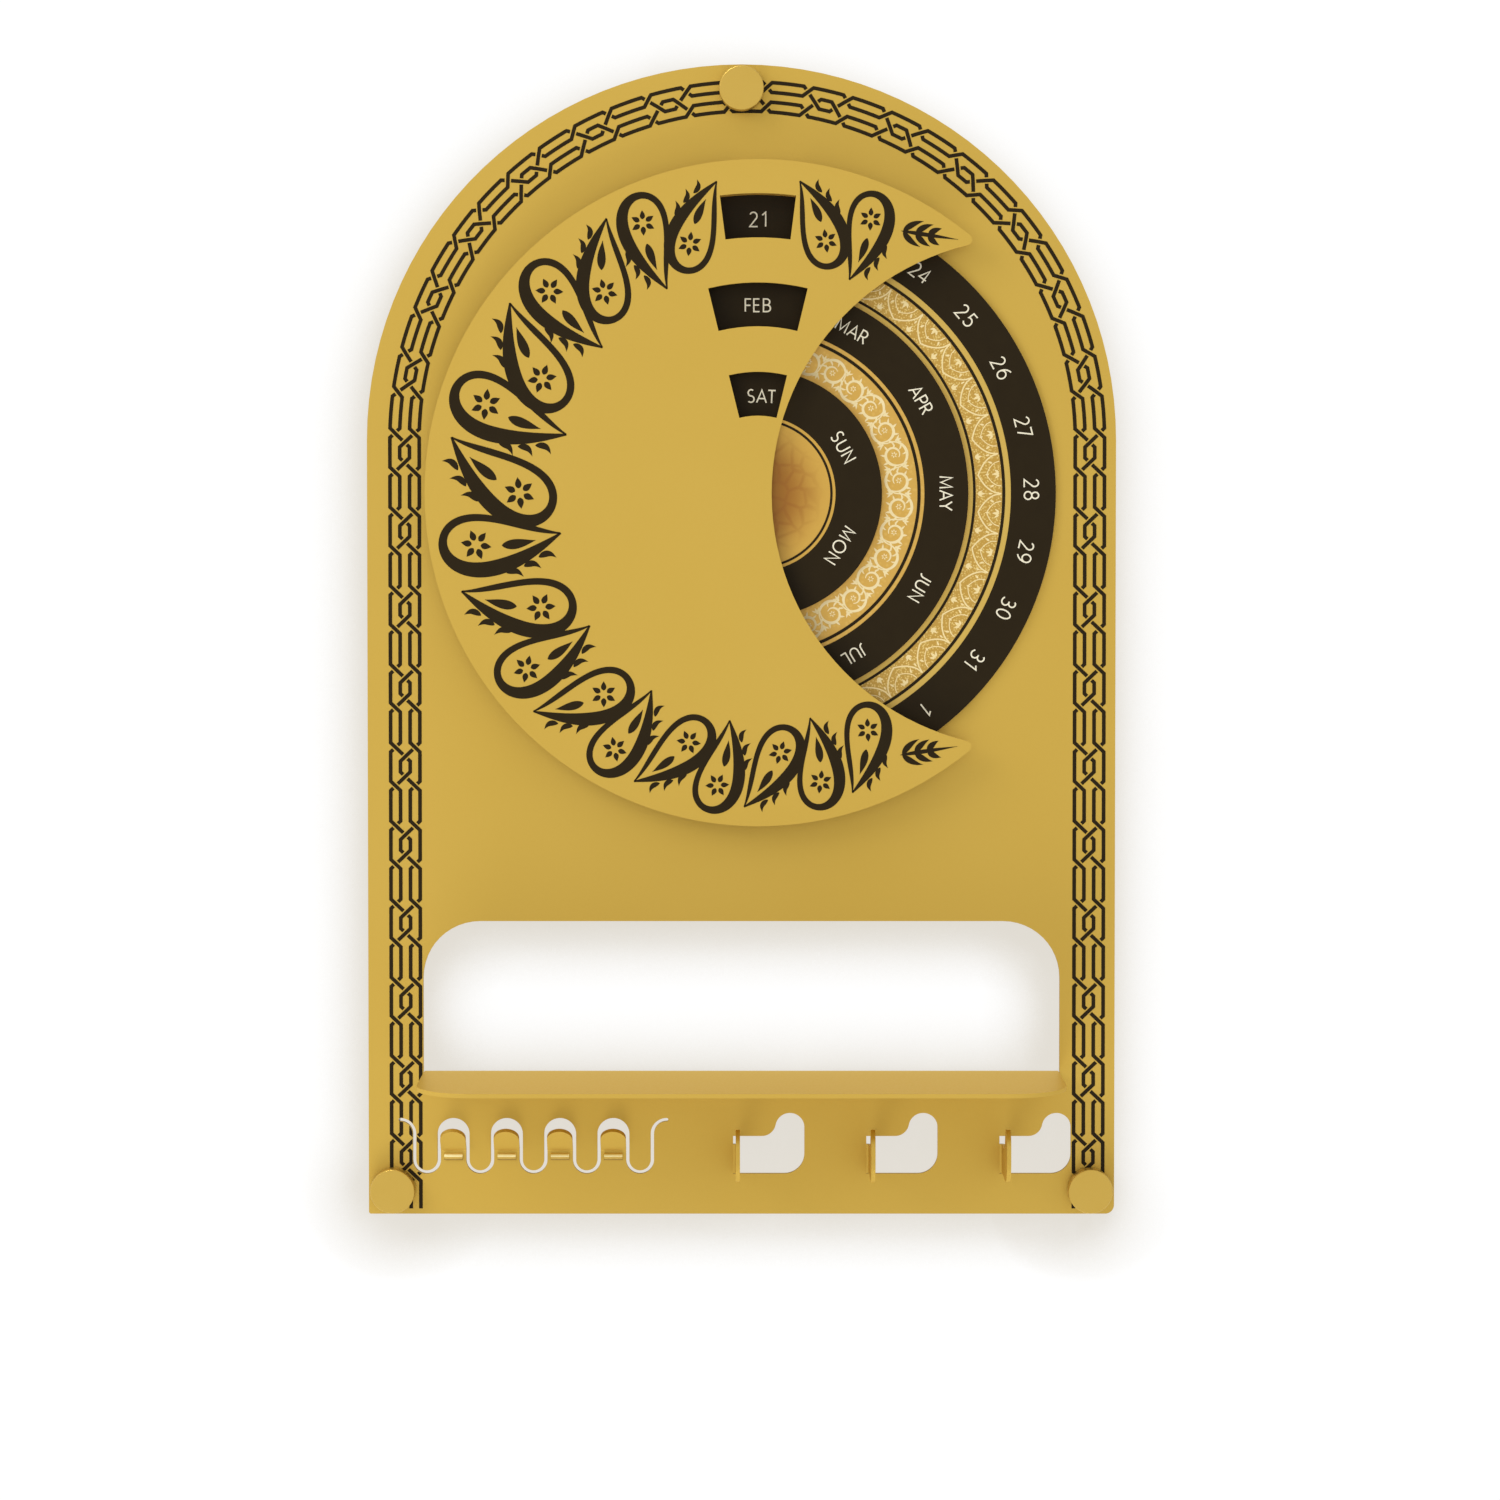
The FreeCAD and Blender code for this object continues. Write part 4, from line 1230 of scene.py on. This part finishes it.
# Stage paint: grey that answers to the lamps, strength of the even glow, its share and colour in the deepest
# shade, how far the shade reaches, and the way in which it looks for what hides the light
PAINT_GREY = (0.06, 0.06, 0.06, 1.0)
PAINT_GLOW = 0.965
DEEPEST_SHADE = 0.745
GOLD_SHADE = (1.0, 0.83, 0.52, 1.0)
SHADE_REACH = 32 * MM
SHADE_WAY = (0.30, -1.0, 0.85)


def stage_paint():
    """Matt white paint that only the camera sees, clear from behind. Most of its light is an even glow that
    falls off close to the object, more below it and to its left than above and to its right, and takes
    a little of its gold there. The rest answers to the lamps."""
    material = bpy.data.materials.new("matt white stage")
    tree = empty_tree(material)
    paint = add(tree, "BsdfDiffuse", inputs={"Color": PAINT_GREY})
    sky = add(tree, "VectorMath", {"operation": "NORMALIZE"}, {0: SHADE_WAY})
    near = add(tree, "AmbientOcclusion", {"samples": 16}, {
        "Distance": SHADE_REACH, "Normal": sky.outputs["Vector"]})
    shade = work_out(tree, "MAXIMUM", near.outputs["AO"], DEEPEST_SHADE)
    glow = add(tree, "Emission", inputs={
        "Color": blended(tree, shade, GOLD_SHADE, WHITE),
        "Strength": work_out(tree, "MULTIPLY", shade, PAINT_GLOW)})
    lit = add(tree, "AddShader", inputs={0: paint.outputs["BSDF"], 1: glow.outputs["Emission"]})
    clear = add(tree, "BsdfTransparent")
    side = add(tree, "NewGeometry").outputs["Backfacing"]
    both = add(tree, "MixShader", inputs={
        0: side, 1: lit.outputs["Shader"], 2: clear.outputs["BSDF"]})
    add(tree, "OutputMaterial", inputs={"Surface": both.outputs["Shader"]})
    return material


def studio_world(settings):
    """Even white light, a little stronger from the sides than from the front and the wall. The camera,
    gloss and clear pieces see plain white."""
    world = bpy.data.worlds.new("studio")
    tree = empty_tree(world)
    path = add(tree, "LightPath").outputs
    seen = work_out(tree, "MAXIMUM", path["Is Camera Ray"], path["Is Glossy Ray"])
    seen = work_out(tree, "MAXIMUM", seen, path["Is Transmission Ray"])
    way = add(tree, "TexCoord").outputs["Generated"]
    depth = add(tree, "SeparateXYZ", inputs={"Vector": way}).outputs["Y"]
    depth = work_out(tree, "ABSOLUTE", depth)
    strength = carried(tree, depth, 0.1, 0.95, settings.side_level, settings.level, "SMOOTHSTEP")
    even = add(tree, "Background", inputs={"Color": WHITE, "Strength": strength})
    white = add(tree, "Background", inputs={"Color": WHITE, "Strength": 1.0})
    both = add(tree, "MixShader", inputs={
        0: seen, 1: even.outputs["Background"], 2: white.outputs["Background"]})
    add(tree, "OutputWorld", inputs={"Surface": both.outputs["Shader"]})
    return world


def add_lamp(name, place, target, size, power):
    """Round area lamp that faces a target: tipped from straight down by its angle off the vertical, then
    turned about the vertical to its heading."""
    lamp = bpy.data.lights.new(name, "AREA")
    lamp.shape = "DISK"
    lamp.size = size
    lamp.energy = power
    holder = bpy.data.objects.new(name, lamp)
    bpy.context.scene.collection.objects.link(holder)
    holder.location = place
    x, y, z = np.array(target) - np.array(place)
    holder.rotation_euler = (math.atan2(math.hypot(x, y), -z), 0.0, math.atan2(y, x) - math.pi / 2)
    return holder


# Camera's place across and up, its shift as shares of the frame's width, and its sensor's width in mm
CAMERA_X, CAMERA_Z = 1.27 * MM, -155.1 * MM
CAMERA_SHIFT = (5 / 1500, -0.0892)
SENSOR = 36.0

# How far the wall and the floor reach, and the gap between the object's back and the wall
STAGE_REACH = 3.0
WALL_GAP = 0.5 * MM

# Lamps, as (setting with the power, place, diameter, kind of light that it doesn't give)
LAMPS = (
    ("key", (-1.10, -0.80, 0.55), 0.9, "glossy"),
    ("fill", (-0.25, -0.70, -1.40), 0.6, "glossy"),
    ("glint", (-0.50, -0.45, 0.95), 0.3, "diffuse"),
)


class CALENDAR_OT_stage(bpy.types.Operator):
    """Set up the camera, the wall, the floor and the soft light"""

    bl_idname = "calendar.stage"
    bl_label = "Stage"

    def execute(self, context):
        scene = context.scene
        settings = scene.calendar_stage
        camera = bpy.data.cameras.new("camera")
        camera.lens = settings.lens
        camera.sensor_width = SENSOR
        camera.shift_x, camera.shift_y = CAMERA_SHIFT
        holder = bpy.data.objects.new("camera", camera)
        scene.collection.objects.link(holder)
        holder.location = (CAMERA_X, PANEL_FRONT - settings.distance, CAMERA_Z)
        holder.rotation_euler = (math.pi / 2 - settings.pitch, 0.0, 0.0)
        scene.camera = holder

        paint = stage_paint()
        low, high = CAD_BOX
        floor = low.z - settings.floor_drop
        far = STAGE_REACH
        back = high.y + WALL_GAP
        right, left = (far, back, floor), (-far, back, floor)
        stage_plane("wall", [right, (far, back, far), (-far, back, far), left], paint)
        stage_plane("floor", [left, (-far, -far, floor), (far, -far, floor), right], paint)
        scene.world = studio_world(settings)

        middle = (0.0, 0.0, (low.z + high.z) / 2)
        for name, place, size, unlit in LAMPS:
            lamp = add_lamp(name, place, middle, size, getattr(settings, name))
            setattr(lamp, "visible_" + unlit, False)
        scene.view_settings.view_transform = "Standard"
        return {"FINISHED"}


class CALENDAR_PT_panel(bpy.types.Panel):
    """Lists the steps that build the calendar"""

    bl_label = "Calendar"
    bl_idname = "CALENDAR_PT_panel"
    bl_space_type = "VIEW_3D"
    bl_region_type = "UI"
    bl_category = "Calendar"

    def draw(self, context):
        for operator in OPERATORS:
            self.layout.operator(operator.bl_idname)


GROUPS = {
    "calendar_print": PrintSettings,
    "calendar_dials": DialSettings,
    "calendar_colours": ColourSettings,
    "calendar_stage": StageSettings,
}
OPERATORS = (
    CALENDAR_OT_stage,
    CALENDAR_OT_finishes,
    CALENDAR_OT_border_knot,
    CALENDAR_OT_moon_garland,
    CALENDAR_OT_dial_bands,
    CALENDAR_OT_month_scroll,
    CALENDAR_OT_date_filigree,
    CALENDAR_OT_dial_lettering,
)
CLASSES = (*GROUPS.values(), *OPERATORS, CALENDAR_PT_panel)


def register():
    """Registers the classes and hangs the settings on the scene."""
    for item in CLASSES:
        bpy.utils.register_class(item)
    for name, group in GROUPS.items():
        setattr(bpy.types.Scene, name, PointerProperty(type=group))


def unregister():
    """Takes the settings and the classes away again."""
    for name in GROUPS:
        delattr(bpy.types.Scene, name)
    for item in reversed(CLASSES):
        bpy.utils.unregister_class(item)


def main():
    """Builds the calendar, one operator after another."""
    register()
    for operator in OPERATORS:
        family, name = operator.bl_idname.split(".")
        getattr(getattr(bpy.ops, family), name)()


if __name__ == "__main__":
    main()
